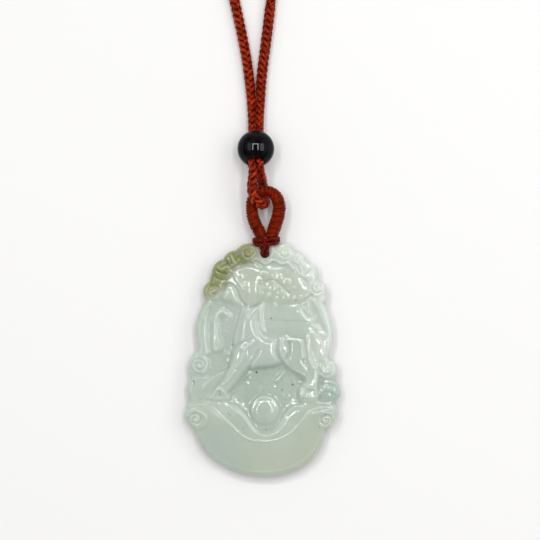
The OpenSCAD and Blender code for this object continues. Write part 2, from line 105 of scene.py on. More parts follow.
soft_light("ceiling_strip_left", (-300, 184, 900), (60, 650), 2.2)
soft_light("ceiling_strip_right", (225, 184, 900), (60, 650), 2.2)
soft_light("ceiling_strip_far", (-37, 505, 900), (585, 60), 2.0)
soft_light("window_left", (-650, 210, 760), (440, 760), 0.75)
soft_light("window_right", (322, 110, 395), (230, 395), 0.6)

world = bpy.data.worlds.new("white_room")
bpy.context.scene.world = world
world.use_nodes = True
world.node_tree.nodes["Background"].inputs["Color"].default_value = (1, 1, 1, 1)
world.node_tree.nodes["Background"].inputs["Strength"].default_value = 0.47
world.cycles_visibility.glossy = False
bpy.context.scene.view_settings.view_transform = "Standard"


# The jade plaque
# One slab of pale green jadeite with a flat back. Its front is carved in relief and polished: a horned,
# hoofed animal that walks to the left among cloud scrolls and ribbons, over a ball in a wave and a
# bowl-shaped foot. It hangs from a hole drilled near its top edge.
plaque_w, plaque_h = 34, 50.7
hole_x, hole_y, hole_d = 0.5, 23.05, 1.95

# The carver's drawing is a sheet of squares. The plaque fills it from the corner (184, 243), 157 squares
# across and 234 down, and every place and width in the carving's tables is in these squares.
sheet_left, sheet_top, sheet_across, sheet_down = 184, 243, 157, 234
square = plaque_w / sheet_across

# Heights over the table in millimetres: the carving's ground, the foot of its round knobs, and the top of
# the plaque's side
ground_level, knob_foot, rim_level = 4.3, 3.7, 3.1

# The scalloped outline, anticlockwise from the hanging hole: across, down, and the bulge of the arc to the
# next row.
OUTLINE = [
    (254, 244, .17), (236, 250.4, .175), (223.3, 259.3, .08), (215.4, 263.8, .08), (211.8, 272, 0),
    (209.4, 281.7, .26), (206, 300, .045), (195.5, 326, .015), (197.8, 346, 0), (197, 351.5, .205),
    (191, 378, .18), (189.9, 398.3, .02), (184.2, 414, .115), (193, 427.3, 0), (195, 430, .05),
    (199.8, 443.6, .036), (210.6, 457.2, .03), (232.2, 470.2, .05), (257, 476.4, .04), (280, 475.8, .03),
    (301.3, 468.5, .045), (316.6, 455, .033), (324, 440.2, .02), (325.2, 429.6, .12), (336, 420, .17),
    (335.2, 403.3, -.12), (340.7, 396.5, .09), (335.4, 379.8, .135), (335.9, 363.7, .14), (330.3, 360.2, 0),
    (328.1, 356, .122), (324.2, 303.5, .12), (325.5, 286.5, .15), (320.4, 282, 0), (317.7, 279.6, 0),
    (317.4, 275, .09), (315.7, 266.8, .09), (308.9, 262, 0), (305.9, 259.7, .19), (295, 250.5, .235),
    (276, 244, .02),
]
# The lower edge of the clouds over the head, and the neck's right edge from the nape down to the belly. Each
# is used twice below.
CLOUD_EDGE = [
    (252.5, 261.5), (255.5, 259.2), (258.5, 259.8), (261, 261.5), (264.5, 264), (268, 263.2), (271, 261),
    (274, 260.3), (277, 261.5), (280, 263.6), (284, 263.8), (287, 262.8), (289.5, 264.5), (292.5, 269),
]
NECK_EDGE = [
    (259, 304.5), (259.5, 307), (257.5, 312), (256.4, 320), (256.4, 327), (258.1, 331), (261, 335),
    (264.1, 338), (267, 339.6), (275.5, 340), (277.3, 341.6), (277, 349), (279, 357), (281.5, 362.3),
    (276, 365.3), (268, 367.3), (258, 367.8), (250, 368.4),
]
# Plates: top over the back in millimetres, width of the crisp shoulder, width of the broad rounding, outline.
PLATES = [
    # cloud band round the top, left and right streamer, the round hook inside the left one
    (4.85, 3, 7, [(203, 302), (213, 299), (221, 290), (227, 279), (232, 270.5), (241, 264.5), *CLOUD_EDGE,
        (298, 275), (306, 281), (309, 289), (313, 299), (325, 304), (342, 290), (342, 240), (190, 240),
        (188, 296)]),
    (5.1, 3, 7, [(203, 300), (210, 301.5), (212, 305), (209.3, 312), (208.3, 330), (208.6, 345), (211, 353),
        (204, 358), (190, 356), (184, 330), (190, 308)]),
    (5.1, 3, 7, [(311, 299), (316, 309), (320.5, 319), (325.3, 329.5), (327.3, 338), (326.5, 350),
        (323, 360), (345, 361), (346, 300), (322, 296)]),
    (5.1, 2.6, 5, [(212.4, 351), (212, 330), (212.6, 320), (214.4, 314), (217.6, 310.2), (221.5, 308.7),
        (225.5, 309.3), (228.6, 311.9), (231, 316), (230, 319.8), (227.3, 318.6), (225, 315.2),
        (222.4, 313.8), (220, 315.2), (218.9, 319), (219.3, 328), (221, 339), (223.2, 345), (222.5, 351)]),
    # the low fields that the head, the horn and the back rise from
    (5.2, 14, 34, [(231, 271), (240, 266), (252, 263), (262, 265), (276, 266.5), (292, 270), (304, 281),
        (315, 291), (308, 301), (290, 307), (262, 308), (240, 307), (224, 300), (221, 292), (226, 283)]),
    (5.15, 8, 10, [(258, 300), (276, 303), (300, 304), (309, 312), (315, 322), (316, 332), (258, 330)]),
    # the animal's barrel, rump, far hind leg, flank fold, thigh, then its neck with chest and belly in two
    # levels, and the foreleg
    (5.4, 3.5, 14, [(247, 322), (258, 320.5), (272, 321), (288, 321.8), (303, 322.8), (310, 324.5),
        (316, 330.5), (322, 337), (327, 347), (326.5, 355), (322, 361), (316, 368), (305, 372), (290, 368),
        (280, 363), (265, 355), (250, 345)]),
    (5.3, 7, 16, [(294, 327), (303, 325.5), (311, 327.5), (318, 333), (322.5, 340), (321.5, 347),
        (316.5, 350), (308, 349), (300, 346), (292, 338)]),
    (5.65, 3, 6, [(303, 340), (311, 344), (313.9, 352), (314.2, 359.5), (317.5, 361.3), (319.4, 364),
        (319.6, 375), (318.6, 385), (318.2, 397), (312, 399), (308, 380), (302, 362)]),
    (6.05, 3, 7, [(277, 348), (277.3, 340), (278.5, 336.3), (281, 334.3), (283.3, 334.6), (286, 337.8),
        (287.6, 342), (288.2, 350), (288.5, 360), (284, 362.5), (280, 361.5), (277, 355)]),
    (5.85, 4, 9, [(287.6, 346), (288.2, 341), (289.5, 338.6), (293, 338), (300, 339), (302.8, 341),
        (305, 350), (307, 359), (309, 366), (313, 372), (316.5, 380), (317.6, 390), (317, 399), (307, 401.5),
        (299.5, 398), (299.5, 389), (303.5, 383), (304.5, 379), (299, 375), (292, 371), (288, 368),
        (284.5, 363), (284, 356), (286.5, 350)]),
    (5.45, 6, 8, [(243, 303), (249, 305.5), (254, 306), *NECK_EDGE, (243, 362), (236, 354), (232.8, 346),
        (232.8, 338), (234.6, 328.5), (237, 320), (240, 311)]),
    (6.1, 3.5, 7, [(247, 304), (253, 306), *NECK_EDGE, (244, 361), (240, 353), (238.2, 344), (238.2, 336),
        (239.3, 328), (240.3, 320), (243.5, 311)]),
    (6.35, 5, 12, [(249, 338), (256, 340), (260, 345), (258.5, 352), (253, 360), (249.7, 367.5),
        (246, 372.5), (241, 379.5), (235, 386), (230, 391), (226.5, 396), (213, 396), (209.5, 393),
        (213.5, 386.5), (219, 380.5), (224.3, 373), (228.3, 365), (231, 357), (233, 348), (238, 341),
        (243, 338)]),
    # bridge from head to horn, head, jaw swirl, the curled horn, the tuft of the beard
    (5.25, 3, 8, [(250, 270), (262, 268.5), (272, 270), (278, 279), (279, 292), (272, 300), (262, 302),
        (250, 300)]),
    (5.5, 4, 14, [(231.5, 270.5), (235.5, 268.5), (241, 265.8), (247, 264.2), (252.5, 264.6), (257, 266.5),
        (262, 269.5), (266, 276), (267, 288), (265.5, 297), (260.5, 303.3), (253.5, 306.3), (246, 305.6),
        (241, 302), (237.8, 297), (235.8, 292), (235, 287), (236.3, 283), (235.8, 279.5), (234.6, 275.5)]),
    (5.35, 3, 9, [(221.5, 292), (224, 287), (228, 284.6), (232, 286), (235.5, 291), (238, 297), (241, 303),
        (237, 304.5), (231, 303), (225.5, 301.5), (222, 298)]),
    (5.4, 20, 46, [(256, 272), (260, 268.5), (264, 267), (270, 267.2), (278, 268.8), (286, 271.5),
        (293, 276), (298, 281.5), (304, 287.5), (314, 290.5), (310, 296.5), (304.5, 301), (297, 304.6),
        (290, 305.8), (282, 304.8), (275, 302.6), (267, 301.5), (261, 303), (256, 296)]),
    (5.15, 2.4, 4, [(270, 301), (276, 302), (278, 304.5), (275.5, 307.5), (272.5, 309), (270.5, 305.5)]),
    # the ribbon's leaf over the ball, rock and hoofs
    (4.9, 1.6, 3, [(273, 380.7), (276.5, 377.5), (280, 373.3), (283, 370.7), (285, 371.3), (282, 376.5),
        (278, 381.5), (274, 382)]),
    (4.9, 3, 8, [(186, 378), (203, 376), (214, 375.5), (226.3, 369.8), (229, 372), (222, 380), (213, 390),
        (209, 399), (186, 402)]),
    (5.5, 2.4, 5, [(208.5, 395), (213, 388.2), (217, 386.8), (221.5, 387.6), (227, 391), (231, 395),
        (229, 400.5), (210, 401)]),
    (5.6, 2.4, 6, [(298.5, 388), (302, 383), (308, 381), (317, 381.5), (319, 390), (318.5, 401),
        (308, 403.5), (299, 400)]),
    # the wave: its band, and the foot below its crest
    (5.35, 2.4, 5, [(183, 405), (190, 402), (197, 400.3), (208, 399.5), (222, 401), (230, 403), (237, 406),
        (243, 411), (248, 417), (252, 423), (256, 428), (262, 431.5), (268, 432), (275, 429), (281, 421),
        (284, 414), (290, 408), (295, 405), (301, 403.3), (310, 401), (320, 400), (332, 402), (345, 408),
        (345, 440), (300, 445), (262, 450), (220, 440), (183, 430)]),
]
# The crest where the foot begins, from the left volute to the right one.
CREST = [
    (185, 410), (190, 407), (197, 404.5), (203, 404), (209, 405.5), (215, 409), (222, 416), (229, 423),
    (236, 430), (243, 436), (250, 439.5), (262, 441), (272, 440.5), (280, 438.5), (290, 433), (296, 427),
    (302, 420), (308, 412.5), (314, 409), (319, 407.3), (324, 407), (332, 409), (341, 414),
]
# Round domes: across, down, radius, top in millimetres, and the share of their rise that crowns them.
DOMES = [
    (232, 259.5, 10, 5.05, .4), (221.5, 270.5, 12, 5.0, .4), (214.5, 291, 10.5, 5.1, .4),
    (297, 257.5, 10, 5.05, .4), (307, 268, 12, 5.0, .4), (265, 251.5, 10, 4.95, .4),
    (196.5, 388.5, 12, 5.0, .4), (330, 391.5, 12, 5.1, .4), (247.5, 252.5, 9.5, 5.3, .4),
    (285, 252.5, 8.7, 5.35, .4), (317.5, 288, 10, 5.35, .4), (199, 365, 11.5, 5.3, .4),
    (327, 369, 10.5, 5.3, .4), (264.8, 409.4, 15.2, 5.0, .15), (264.6, 410.2, 11.4, 5.45, .3),
    (195.5, 418.5, 11.5, 5.7, .4), (325.5, 419, 11.5, 5.7, .4),
]
# Broad swells on what is there: across, down, half width, half height, rise. They are on the cheek, thigh,
# belly, neck and clouds.
SWELLS = [
    (253.5, 290, 12, 17, .34), (295, 355, 15, 17.5, .14), (268, 350, 20, 17, .22), (247, 328, 11, 22, .04),
    (301, 279, 14, 14, .20),
]
# Small bosses set on what is there: across, down, radius, height. They are the knobs on the horn, the eye,
# and grains.
BOSSES = [
    (264.5, 272, 4.4, .30), (272.5, 274.3, 3.8, .30), (280, 277.5, 3.8, .30), (287.3, 281.7, 3.8, .30),
    (292.3, 287.3, 3, .2), (264.8, 286.3, 4.2, .30), (273.5, 288.5, 4, .30), (280.5, 293, 3.6, .28),
    (267, 295.5, 3.6, .26), (275, 298, 2.8, .2), (286.3, 297.8, 3.4, .26), (293, 298.3, 3.2, .24),
    (299.5, 297.7, 3, .22), (305.5, 296.3, 2.2, .16), (244.3, 277, 4.2, .20), (244.3, 277, 2.2, .10),
    (245.5, 283.7, 1.8, .14), (227, 353, 3, .25), (229.7, 313.3, 2.2, .12), (306, 365.5, 1.5, .15),
    (327, 364.5, 3, .22), (323.5, 370, 3, .22), (330.5, 371.5, 3, .22), (326, 388, 3.6, .3),
    (333, 390, 3.4, .26), (327.5, 395, 3, .22), (260.5, 387, 2, .2), (266, 383.5, 1.8, .2),
    (257, 391, 1.6, .15), (309, 386, 2.2, .2), (313.5, 389, 2, .2), (308.5, 394.5, 2.2, .2),
    (322.5, 354.5, 2, .15), (296, 312, 2, .06), (285, 313, 1.8, .06),
]
# Raised lines: height, half width, points.
RIDGES = [
    (.34, 1.1, CLOUD_EDGE),
    (.16, .9, [(252.5, 261.5), (256, 264.5), (260, 267.5)]),
    (.22, 1.3, [(258.5, 246.5), (257.5, 249.5), (259, 253), (261, 256.5)]),
    (.22, 1.3, [(272.5, 247), (273.3, 251.5), (271.5, 256.5)]),
    (.22, 1.2, [(230.5, 270), (233.5, 273), (235.3, 276.5), (236, 279.5), (238.5, 282.3), (241, 285.5),
        (242.5, 290)]),
    (.16, 1.1, [(226.5, 291), (226, 295), (223.5, 298.5)]),
    (.18, 1.0, [(210.7, 302.5), (205.5, 308.5), (201.5, 318)]),
    (.20, .9, [(301.5, 305), (303.5, 308.5), (306, 311.5)]),
    (.26, 1.0, [(301.5, 305), (304, 303), (307.5, 302.3), (308, 308), (310.5, 313), (313, 317), (314, 321)]),
    (.18, .8, [(221, 341), (222.5, 347)]),
    (.20, 1.0, [(259.6, 305.5), (257.4, 311), (256.5, 318), (256.7, 325), (258.3, 331), (261, 335.2),
        (264.6, 338.2), (269, 339.8), (275.5, 340.3), (276.6, 343), (275.8, 349)]),
    (.16, 1.8, [(261.5, 304), (260.6, 312), (260.6, 320), (261.3, 326), (263.5, 331)]),
    (.16, 1.1, [(256.5, 307.5), (252.3, 312.5), (248.3, 319)]),
    (.12, 1.0, [(250.5, 311.5), (246.5, 317)]),
    (.16, 1.1, [(253.3, 341), (251, 344.3), (247, 346.7), (244.2, 350)]),
    (.16, 2.2, [(243.8, 350), (243, 356), (240.3, 362), (236.3, 366)]),
    (.18, 1.2, [(234.5, 370.5), (231.8, 375), (228.5, 379), (225, 381.8), (221.3, 384)]),
    (.14, .9, [(250.5, 373), (246.5, 375.3), (242, 379.7)]),
    (.12, .9, [(252.5, 357), (251, 360)]),
    (.07, 1.0, [(310, 331), (313, 331), (318, 336), (322, 342), (321, 347), (316, 349.5)]),
    (.18, 1.0, [(326, 340), (325, 347), (324, 354), (322.5, 359)]),
    (.07, 1.0, [(311, 324), (317, 329), (322, 335.5), (325.5, 341)]),
    (.06, 1.9, [(306.4, 336), (307.3, 344), (308.6, 354), (310, 361), (312.5, 366.5), (315, 368)]),
    (.12, 1.9, [(288.5, 339.6), (294, 340.4), (299.3, 341), (302, 346.5), (303.2, 357)]),
    (.12, 1.4, [(286, 336.5), (287.3, 342), (287, 352)]),
    (.20, .9, [(226, 370), (217, 374.5), (210, 380), (203.5, 388)]),
    (.22, 1.1, [(213, 394), (217, 389), (220, 389), (226.5, 393.8)]),
    (.18, .8, [(278.5, 380.5), (281.5, 376.5), (284, 372)]),
    (.20, .9, [(187, 411.5), (195, 410.3), (204, 414), (206.3, 420), (203, 426), (197, 428)]),
    (.20, 1.0, [(314, 413.3), (322, 411.8), (332, 413)]),
    (.16, .8, [(287, 412.5), (292, 407.8), (299, 405.5)]),
    (.08, 1.1, [(232, 408), (241, 415), (248, 424), (255, 432), (264, 435.5), (274, 434), (283, 426),
        (289, 418), (297, 411)]),
    (.20, .85, CREST),
    (.14, .8, [(222, 401), (230, 403), (237, 406), (243, 411), (248, 417), (252, 423), (256, 428),
        (262, 431.3), (268, 431.8), (275, 428.8), (281, 421), (284, 414.3), (290, 408.3), (295, 405.3),
        (301, 403.5)]),
    (.14, 1.0, [(283, 357), (286, 363), (291, 367.5), (297, 371), (303, 374)]),
    (.12, .9, [(297.5, 391), (300.5, 394.5), (306, 396.5), (314, 396)]),
    (.12, .8, [(203, 447), (214, 457), (232, 465.5), (250, 470.5), (270, 471), (288, 467.5), (303, 460),
        (314, 449)]),
]
# Cut lines: depth, half width, points.
GROOVES = [
    (.20, 1.2, [(222, 291), (228, 284), (233, 285.5), (237.5, 292), (240.5, 300), (246, 305.8),
        (253.5, 306.6), (259.5, 303.5)]),
    (.14, 1.0, [(259, 283), (262, 281.9), (268, 280.3), (275, 281), (280.6, 284.8), (286, 291), (290, 293)]),
    (.16, 1.2, [(302, 302.3), (306.5, 299), (312, 294.5)]),
    (.18, 1.3, [(258.5, 351), (254.5, 358), (251, 364), (249.5, 369)]),
    (.18, 1.3, [(277.8, 341), (277.3, 350), (280, 358), (283, 363)]),
    (.20, 1.4, [(288.5, 342), (289, 352), (286, 358)]),
    (.16, 1.1, [(227, 262), (222, 268)]),
    (.16, 1, [(232, 252), (235.5, 262)]),
    (.16, 1, [(228, 254.5), (231.5, 264)]),
    (.16, 1, [(224.5, 258), (228.5, 266)]),
    (.16, 1.1, [(213, 266), (219, 272), (226, 274)]),
    (.16, 1.1, [(211.5, 273), (218, 279), (225, 280)]),
    (.16, 1.1, [(206, 284), (213, 286), (216, 291), (213, 296)]),
    (.2, 1.2, [(240, 262.5), (236, 266), (232, 268.5)]),
    (.2, 1.2, [(292, 262.5), (297, 266), (300, 272)]),
    (.16, 1, [(300, 254), (297, 261)]),
    (.16, 1.1, [(312, 268), (306, 275)]),
    (.18, 1.0, [(299.5, 384), (304.5, 389), (313, 390)]),
    (.14, 1, [(302, 306), (304, 312), (309, 318)]),
    (.18, 1, [(321, 383), (328, 383.5), (334.5, 385)]),
    (.2, 1, [(219.5, 396.5), (219.8, 390.5)]),
    (.08, 1.0, [(266, 320.4), (285, 320.6), (300, 321.2), (309, 322.4)]),
    (.12, .9, [(216.2, 322), (216, 335), (216.6, 349)]),
    (.12, 1.1, [(234, 349), (238, 343.5), (246, 341)]),
]
# Spiral cuts of the scrolls: middle, outer and inner radius, turns, start angle in degrees, sense, depth.
SPIRALS = [
    (247.5, 252.8, 7.2, 1.6, 1.5, 200, 1, .26), (285, 252.5, 6.8, 1.6, 1.5, 340, -1, .26),
    (214, 291, 7.4, 1.8, 1.3, 120, 1, .22), (317.5, 288, 7.6, 1.8, 1.4, 300, -1, .24),
    (199, 365, 9, 1.8, 1.7, 80, 1, .26), (327, 369, 8, 2, 1.3, 250, -1, .2),
    (195.5, 419.2, 8.6, 1.8, 1.6, 60, 1, .3), (325.5, 420.5, 8.0, 1.8, 1.6, 120, -1, .34),
]
# Sunk grounds: depth, width of their slope, outline.
SUNK = [
    (.45, 5, [(250, 369), (262, 367.5), (281, 363.5), (288, 369), (299, 376), (303.5, 381), (298.5, 388),
        (297.5, 399), (290, 405), (283, 413), (264, 420), (247, 412), (241, 406), (234, 402), (231, 395),
        (240, 384), (246, 375)]),
    (.2, 5, [(290, 270), (303, 275), (309, 289), (300, 294), (293, 286), (287, 276)]),
]


def smooth_line(points, step, closed=False):
    """A smooth curve through given points, sampled about every step."""
    p = np.array(points, float)
    n = len(p)
    around = (lambda i: p[i % n]) if closed else (lambda i: p[min(max(i, 0), n - 1)])
    found = []
    for i in range(n if closed else n - 1):
        a, b, c, d = around(i - 1), around(i), around(i + 1), around(i + 2)
        count = max(1, int(np.linalg.norm(c[:2] - b[:2]) / step))
        s = np.arange(count)[:, None] / count
        found.append(0.5 * (2 * b + (c - a) * s + (2 * a - 5 * b + 4 * c - d) * s ** 2
                            + (3 * b - a - 3 * c + d) * s ** 3))
    return np.concatenate(found if closed else found + [p[-1:]])


def distance_to(line, x, y, closed=False):
    """How far some places lie from a line of straight bits."""
    best = np.full(x.shape, 1e9)
    ends = np.roll(line, -1, 0) if closed else line[1:]
    for (x0, y0), (x1, y1) in zip(line, ends):
        dx, dy = x1 - x0, y1 - y0
        s = np.clip(((x - x0) * dx + (y - y0) * dy) / (dx * dx + dy * dy + 1e-12), 0, 1)
        np.minimum(best, (x - x0 - s * dx) ** 2 + (y - y0 - s * dy) ** 2, out=best)
    return np.sqrt(best)


def is_inside(line, x, y):
    """Whether some places lie inside a closed line of straight bits."""
    found = np.zeros(x.shape, bool)
    for (x0, y0), (x1, y1) in zip(line, np.roll(line, -1, 0)):
        if y0 != y1:
            found ^= ((y0 > y) != (y1 > y)) & (x < (x1 - x0) * (y - y0) / (y1 - y0) + x0)
    return found


def outline_points(step):
    """The plaque's outline as points, with the bulge of each arc, and about a step apart."""
    found = []
    for row, following in zip(OUTLINE, OUTLINE[1:] + OUTLINE[:1]):
        a, b = np.array(row[:2]), np.array(following[:2])
        chord = np.linalg.norm(b - a)
        count = max(1, math.ceil(chord / step))
        s = np.arange(count)[:, None] / count
        out = np.array((b[1] - a[1], a[0] - b[0])) / chord
        found.append(a + (b - a) * s - out * chord * row[2] * 4 * s * (1 - s))
    return np.concatenate(found)


outline = outline_points(1.5)
raster_step = 0.5
raster_x = np.arange(sheet_left - 3, sheet_left + sheet_across + 3, raster_step)
raster_y = np.arange(sheet_top - 3, sheet_top + sheet_down + 3, raster_step)
sheet_x, sheet_y = np.meshgrid(raster_x, raster_y)
relief = np.full(sheet_x.shape, ground_level)


def window(line, margin):
    """The part of the sheet round a line, as rows and columns of the raster."""
    low, high = line.min(0) - margin, line.max(0) + margin
    cols = slice(*np.clip(np.searchsorted(raster_x, (low[0], high[0])), 0, len(raster_x)))
    rows = slice(*np.clip(np.searchsorted(raster_y, (low[1], high[1])), 0, len(raster_y)))
    return rows, cols


def rounded(depth, width):
    """The profile of a rounded shoulder, from 0 at its foot to 1 at its width."""
    s = np.clip(depth / width, 0, 1)
    return np.sqrt(1 - (1 - s) ** 2)


def depth_inside(points):
    """The part of the sheet round a closed outline, which of its points lie inside, and how deep they lie."""
    line = smooth_line(points, 1.5, closed=True)
    part = window(line, 1)
    x, y = sheet_x[part], sheet_y[part]
    inside = is_inside(line, x, y)
    return part, inside, np.where(inside, distance_to(line, x, y, closed=True), 0)


def blurred(field, spread):
    """The field with each value spread over its neighbours; spread is in squares."""
    reach = int(3 * spread / raster_step) + 1
    weights = np.exp(-0.5 * (np.arange(-reach, reach + 1) * raster_step / spread) ** 2)
    weights /= weights.sum()
    for axis in (0, 1):
        padded = np.pad(field, [(reach, reach) if a == axis else (0, 0) for a in (0, 1)], mode="edge")
        field = np.apply_along_axis(lambda v: np.convolve(v, weights, "valid"), axis, padded)
    return field


outline_depth = distance_to(outline, sheet_x, sheet_y, True)
outline_depth = np.where(is_inside(outline, sheet_x, sheet_y), outline_depth, -outline_depth)

for depth, slope, points in SUNK:
    part, _, inside_by = depth_inside(points)
    relief[part] -= depth * rounded(inside_by, slope)
# Shares of a plate's rise that its crisp shoulder and each of three broader roundings take
shoulder_share, broad_share = 0.4, 0.2
for top, shoulder, broad, points in PLATES:
    part, inside, inside_by = depth_inside(points)
    share = shoulder_share * rounded(inside_by, shoulder)
    for reach in (0.12, 0.3, 0.6):
        share += broad_share * np.clip(2 * blurred(inside * 1.0, reach * broad) - 1, 0, 1)
    plate = ground_level + (top - ground_level) * share
    relief[part] = np.where(inside, np.maximum(relief[part], plate), relief[part])

# The foot is a shallow bowl below the wave's crest, and thins out to its lower edge
foot_low, foot_rise, foot_round, foot_fall, foot_from = 4.35, 1.35, 42, 0.018, 425
part, _, inside_by = depth_inside(CREST + [(346, 480), (180, 480)])
bowl = (foot_low + foot_rise * rounded(outline_depth[part], foot_round)
        - foot_fall * (sheet_y[part] - foot_from))
bowl = ground_level + (bowl - ground_level) * rounded(inside_by, 2)
relief[part] = np.where(inside_by > 0, bowl, relief[part])
for x, y, radius, top, crowned in DOMES:
    part = window(np.array([(x, y)]), radius)
    off = np.hypot(sheet_x[part] - x, sheet_y[part] - y)
    share = (1 - crowned) * rounded(radius - off, 2.6) + crowned * rounded(radius - off, radius)
    dome = knob_foot + (top - knob_foot) * share
    relief[part] = np.where(off < radius, np.maximum(relief[part], dome), relief[part])

# The polisher draws the heights in towards one level and wears the steps between neighbours softer. The fine
# lines and knobs come after that, at these shares of their drawn size.
worn_level, kept_height, line_share, boss_share = 4.7, 0.6, 1.25, 0.4
soft_share = 0.15
relief = (1 - soft_share) * relief + soft_share * blurred(relief, 4)
relief = blurred(worn_level + kept_height * (relief - worn_level), 0.75)
for x, y, half_across, half_down, size in SWELLS:
    away = ((sheet_x - x) / half_across) ** 2 + ((sheet_y - y) / half_down) ** 2
    relief += size * np.clip(1 - away, 0, 1) ** 2
for sign, table in ((1, RIDGES), (-1, GROOVES)):
    for size, half_width, points in table:
        line = smooth_line(points, 1)
        part = window(line, 4 * half_width)
        away = distance_to(line, sheet_x[part], sheet_y[part]) / half_width
        relief[part] += line_share * sign * size * np.exp(-away ** 2)
for x, y, radius, size in BOSSES:
    part = window(np.array([(x, y)]), radius)
    off = np.hypot(sheet_x[part] - x, sheet_y[part] - y)
    relief[part] += boss_share * size * rounded(radius - off, radius)
spiral_half_width = 0.95
for x, y, outer, inner, turns, start, sense, size in SPIRALS:
    s = np.linspace(0, 1, 60)
    angle = np.radians(start + sense * 360 * turns * s)
    reach = outer + (inner - outer) * s
    line = np.stack([x + reach * np.cos(angle), y + reach * np.sin(angle)], 1)
    part = window(line, 4)
    away = distance_to(line, sheet_x[part], sheet_y[part]) / spiral_half_width
    relief[part] -= size * np.exp(-away ** 2)
relief = blurred(relief, 0.4)

# Fine pitting that the carver's burr left in the ground round the animal and between its horn and its back
pit_depth, pitted_below, foot_top = 0.014, 4.62, 428
under_horn_x, under_horn_y, under_horn_across, under_horn_down = 286, 312.5, 24, 8
pitting = blurred(np.random.default_rng(3).normal(size=relief.shape), 0.8)
pitted = np.clip((pitted_below - relief) / 0.15, 0, 1) * (sheet_y < foot_top)
away = np.hypot((sheet_x - under_horn_x) / under_horn_across, (sheet_y - under_horn_y) / under_horn_down)
pitted += 0.8 * np.clip(1.4 - away * 1.4, 0, 1)
relief += pit_depth * pitting / pitting.std() * pitted

# The rim rolls down to the side all round
rim_width = 4.5
relief = rim_level + (relief - rim_level) * rounded(outline_depth, rim_width)
# How far each place lies below its surroundings, for the painted shade in the valleys
cavity = relief - blurred(relief, 3.0)


def sampled(field, x, y):
    """The field's value at places on the sheet, between the raster's points."""
    u = np.clip((x - raster_x[0]) / raster_step, 0, len(raster_x) - 1.001)
    v = np.clip((y - raster_y[0]) / raster_step, 0, len(raster_y) - 1.001)
    i, j = u.astype(int), v.astype(int)
    u, v = u - i, v - j
    return ((field[j, i] * (1 - u) + field[j, i + 1] * u) * (1 - v)
            + (field[j + 1, i] * (1 - u) + field[j + 1, i + 1] * u) * v)


hole_radius = hole_d / 2 / square
hole_middle = np.array((sheet_left + (hole_x / plaque_w + 0.5) * sheet_across,
                        sheet_top + (0.5 - hole_y / plaque_h) * sheet_down))


def nearest_on(line, places):
    """The nearest points of a closed line to some places."""
    a, b = line, np.roll(line, -1, 0)
    way = b - a
    found = np.empty_like(places)
    for k, q in enumerate(places):
        s = np.clip(((q - a) * way).sum(1) / ((way * way).sum(1) + 1e-12), 0, 1)
        on = a + way * s[:, None]
        found[k] = on[((on - q) ** 2).sum(1).argmin()]
    return found


def loops_of(edges):
    """The closed loops that some edges make, each as a list of its corners in order."""
    following = dict(edges)
    found = []
    while following:
        first = next(iter(following))
        loop, at = [], first
        while at in following:
            loop.append(at)
            at = following.pop(at)
        found.append(loop)
    return found


def net_of_squares(step):
    """A net of squares over the plaque, cut along its outline and round the hanging hole: places on the
    sheet, faces, the loop along the outline and the loop round the hole."""
    xs = np.arange(sheet_left - step * 1.5, sheet_left + sheet_across + 2 * step, step)
    ys = np.arange(sheet_top - step * 1.5, sheet_top + sheet_down + 2 * step, step)
    wide = len(xs)
    middle_x, middle_y = np.meshgrid(xs[:-1] + step / 2, ys[:-1] + step / 2)
    away = np.hypot(middle_x - hole_middle[0], middle_y - hole_middle[1])
    keep = (sampled(outline_depth, middle_x, middle_y) > 0) & (away > hole_radius)
    j, i = np.nonzero(keep)
    corner = j * wide + i
    faces = np.stack([corner, corner + wide, corner + wide + 1, corner + 1], 1)
    used, faces = np.unique(faces, return_inverse=True)
    faces = faces.reshape(-1, 4)
    places = np.stack([xs[used % wide], ys[used // wide]], 1)
    sides = np.concatenate([faces[:, [k, (k + 1) % 4]] for k in range(4)])
    both = {tuple(e) for e in sides.tolist()}
    loops = sorted(loops_of(sorted((a, b) for a, b in both if (b, a) not in both)), key=len)
    hole_loop, outer_loop = loops[-2], loops[-1]
    places[outer_loop] = nearest_on(outline, places[outer_loop])
    from_hole = places[hole_loop] - hole_middle
    places[hole_loop] = hole_middle + from_hole / np.linalg.norm(from_hole, axis=1)[:, None] * hole_radius
    fixed = np.zeros(len(places), bool)
    fixed[outer_loop] = fixed[hole_loop] = True
    near = ((sampled(outline_depth, places[:, 0], places[:, 1]) < 3 * step)
            | (np.hypot(*(places - hole_middle).T) < hole_radius + 3 * step))
    ends = np.concatenate([sides, sides[:, ::-1]])
    count = np.bincount(ends[:, 0], minlength=len(places))[:, None]
    for _ in range(12):
        total = np.stack([np.bincount(ends[:, 0], places[ends[:, 1], k], len(places)) for k in (0, 1)], 1)
        places = np.where((near & ~fixed)[:, None], 0.5 * places + 0.5 * total / count, places)
    return places, faces, outer_loop, hole_loop


def zipped(a_loop, a_places, b_loop, b_places):
    """Triangles between two closed loops that run the same way round."""
    start = int(((b_places - a_places[0]) ** 2).sum(1).argmin())
    b_loop, b_places = b_loop[start:] + b_loop[:start], np.roll(b_places, -start, 0)

    def reach(places):
        steps = np.linalg.norm(np.roll(places, -1, 0) - places, axis=1)
        return np.concatenate([[0], np.cumsum(steps)]) / steps.sum()

    ra, rb = reach(a_places), reach(b_places)
    i = j = 0
    found = []
    while i < len(a_loop) or j < len(b_loop):
        a, b = a_loop[i % len(a_loop)], b_loop[j % len(b_loop)]
        if j >= len(b_loop) or (i < len(a_loop) and ra[i + 1] <= rb[j + 1]):
            found.append((a, a_loop[(i + 1) % len(a_loop)], b))
            i += 1
        else:
            found.append((a, b_loop[(j + 1) % len(b_loop)], b))
            j += 1
    return found


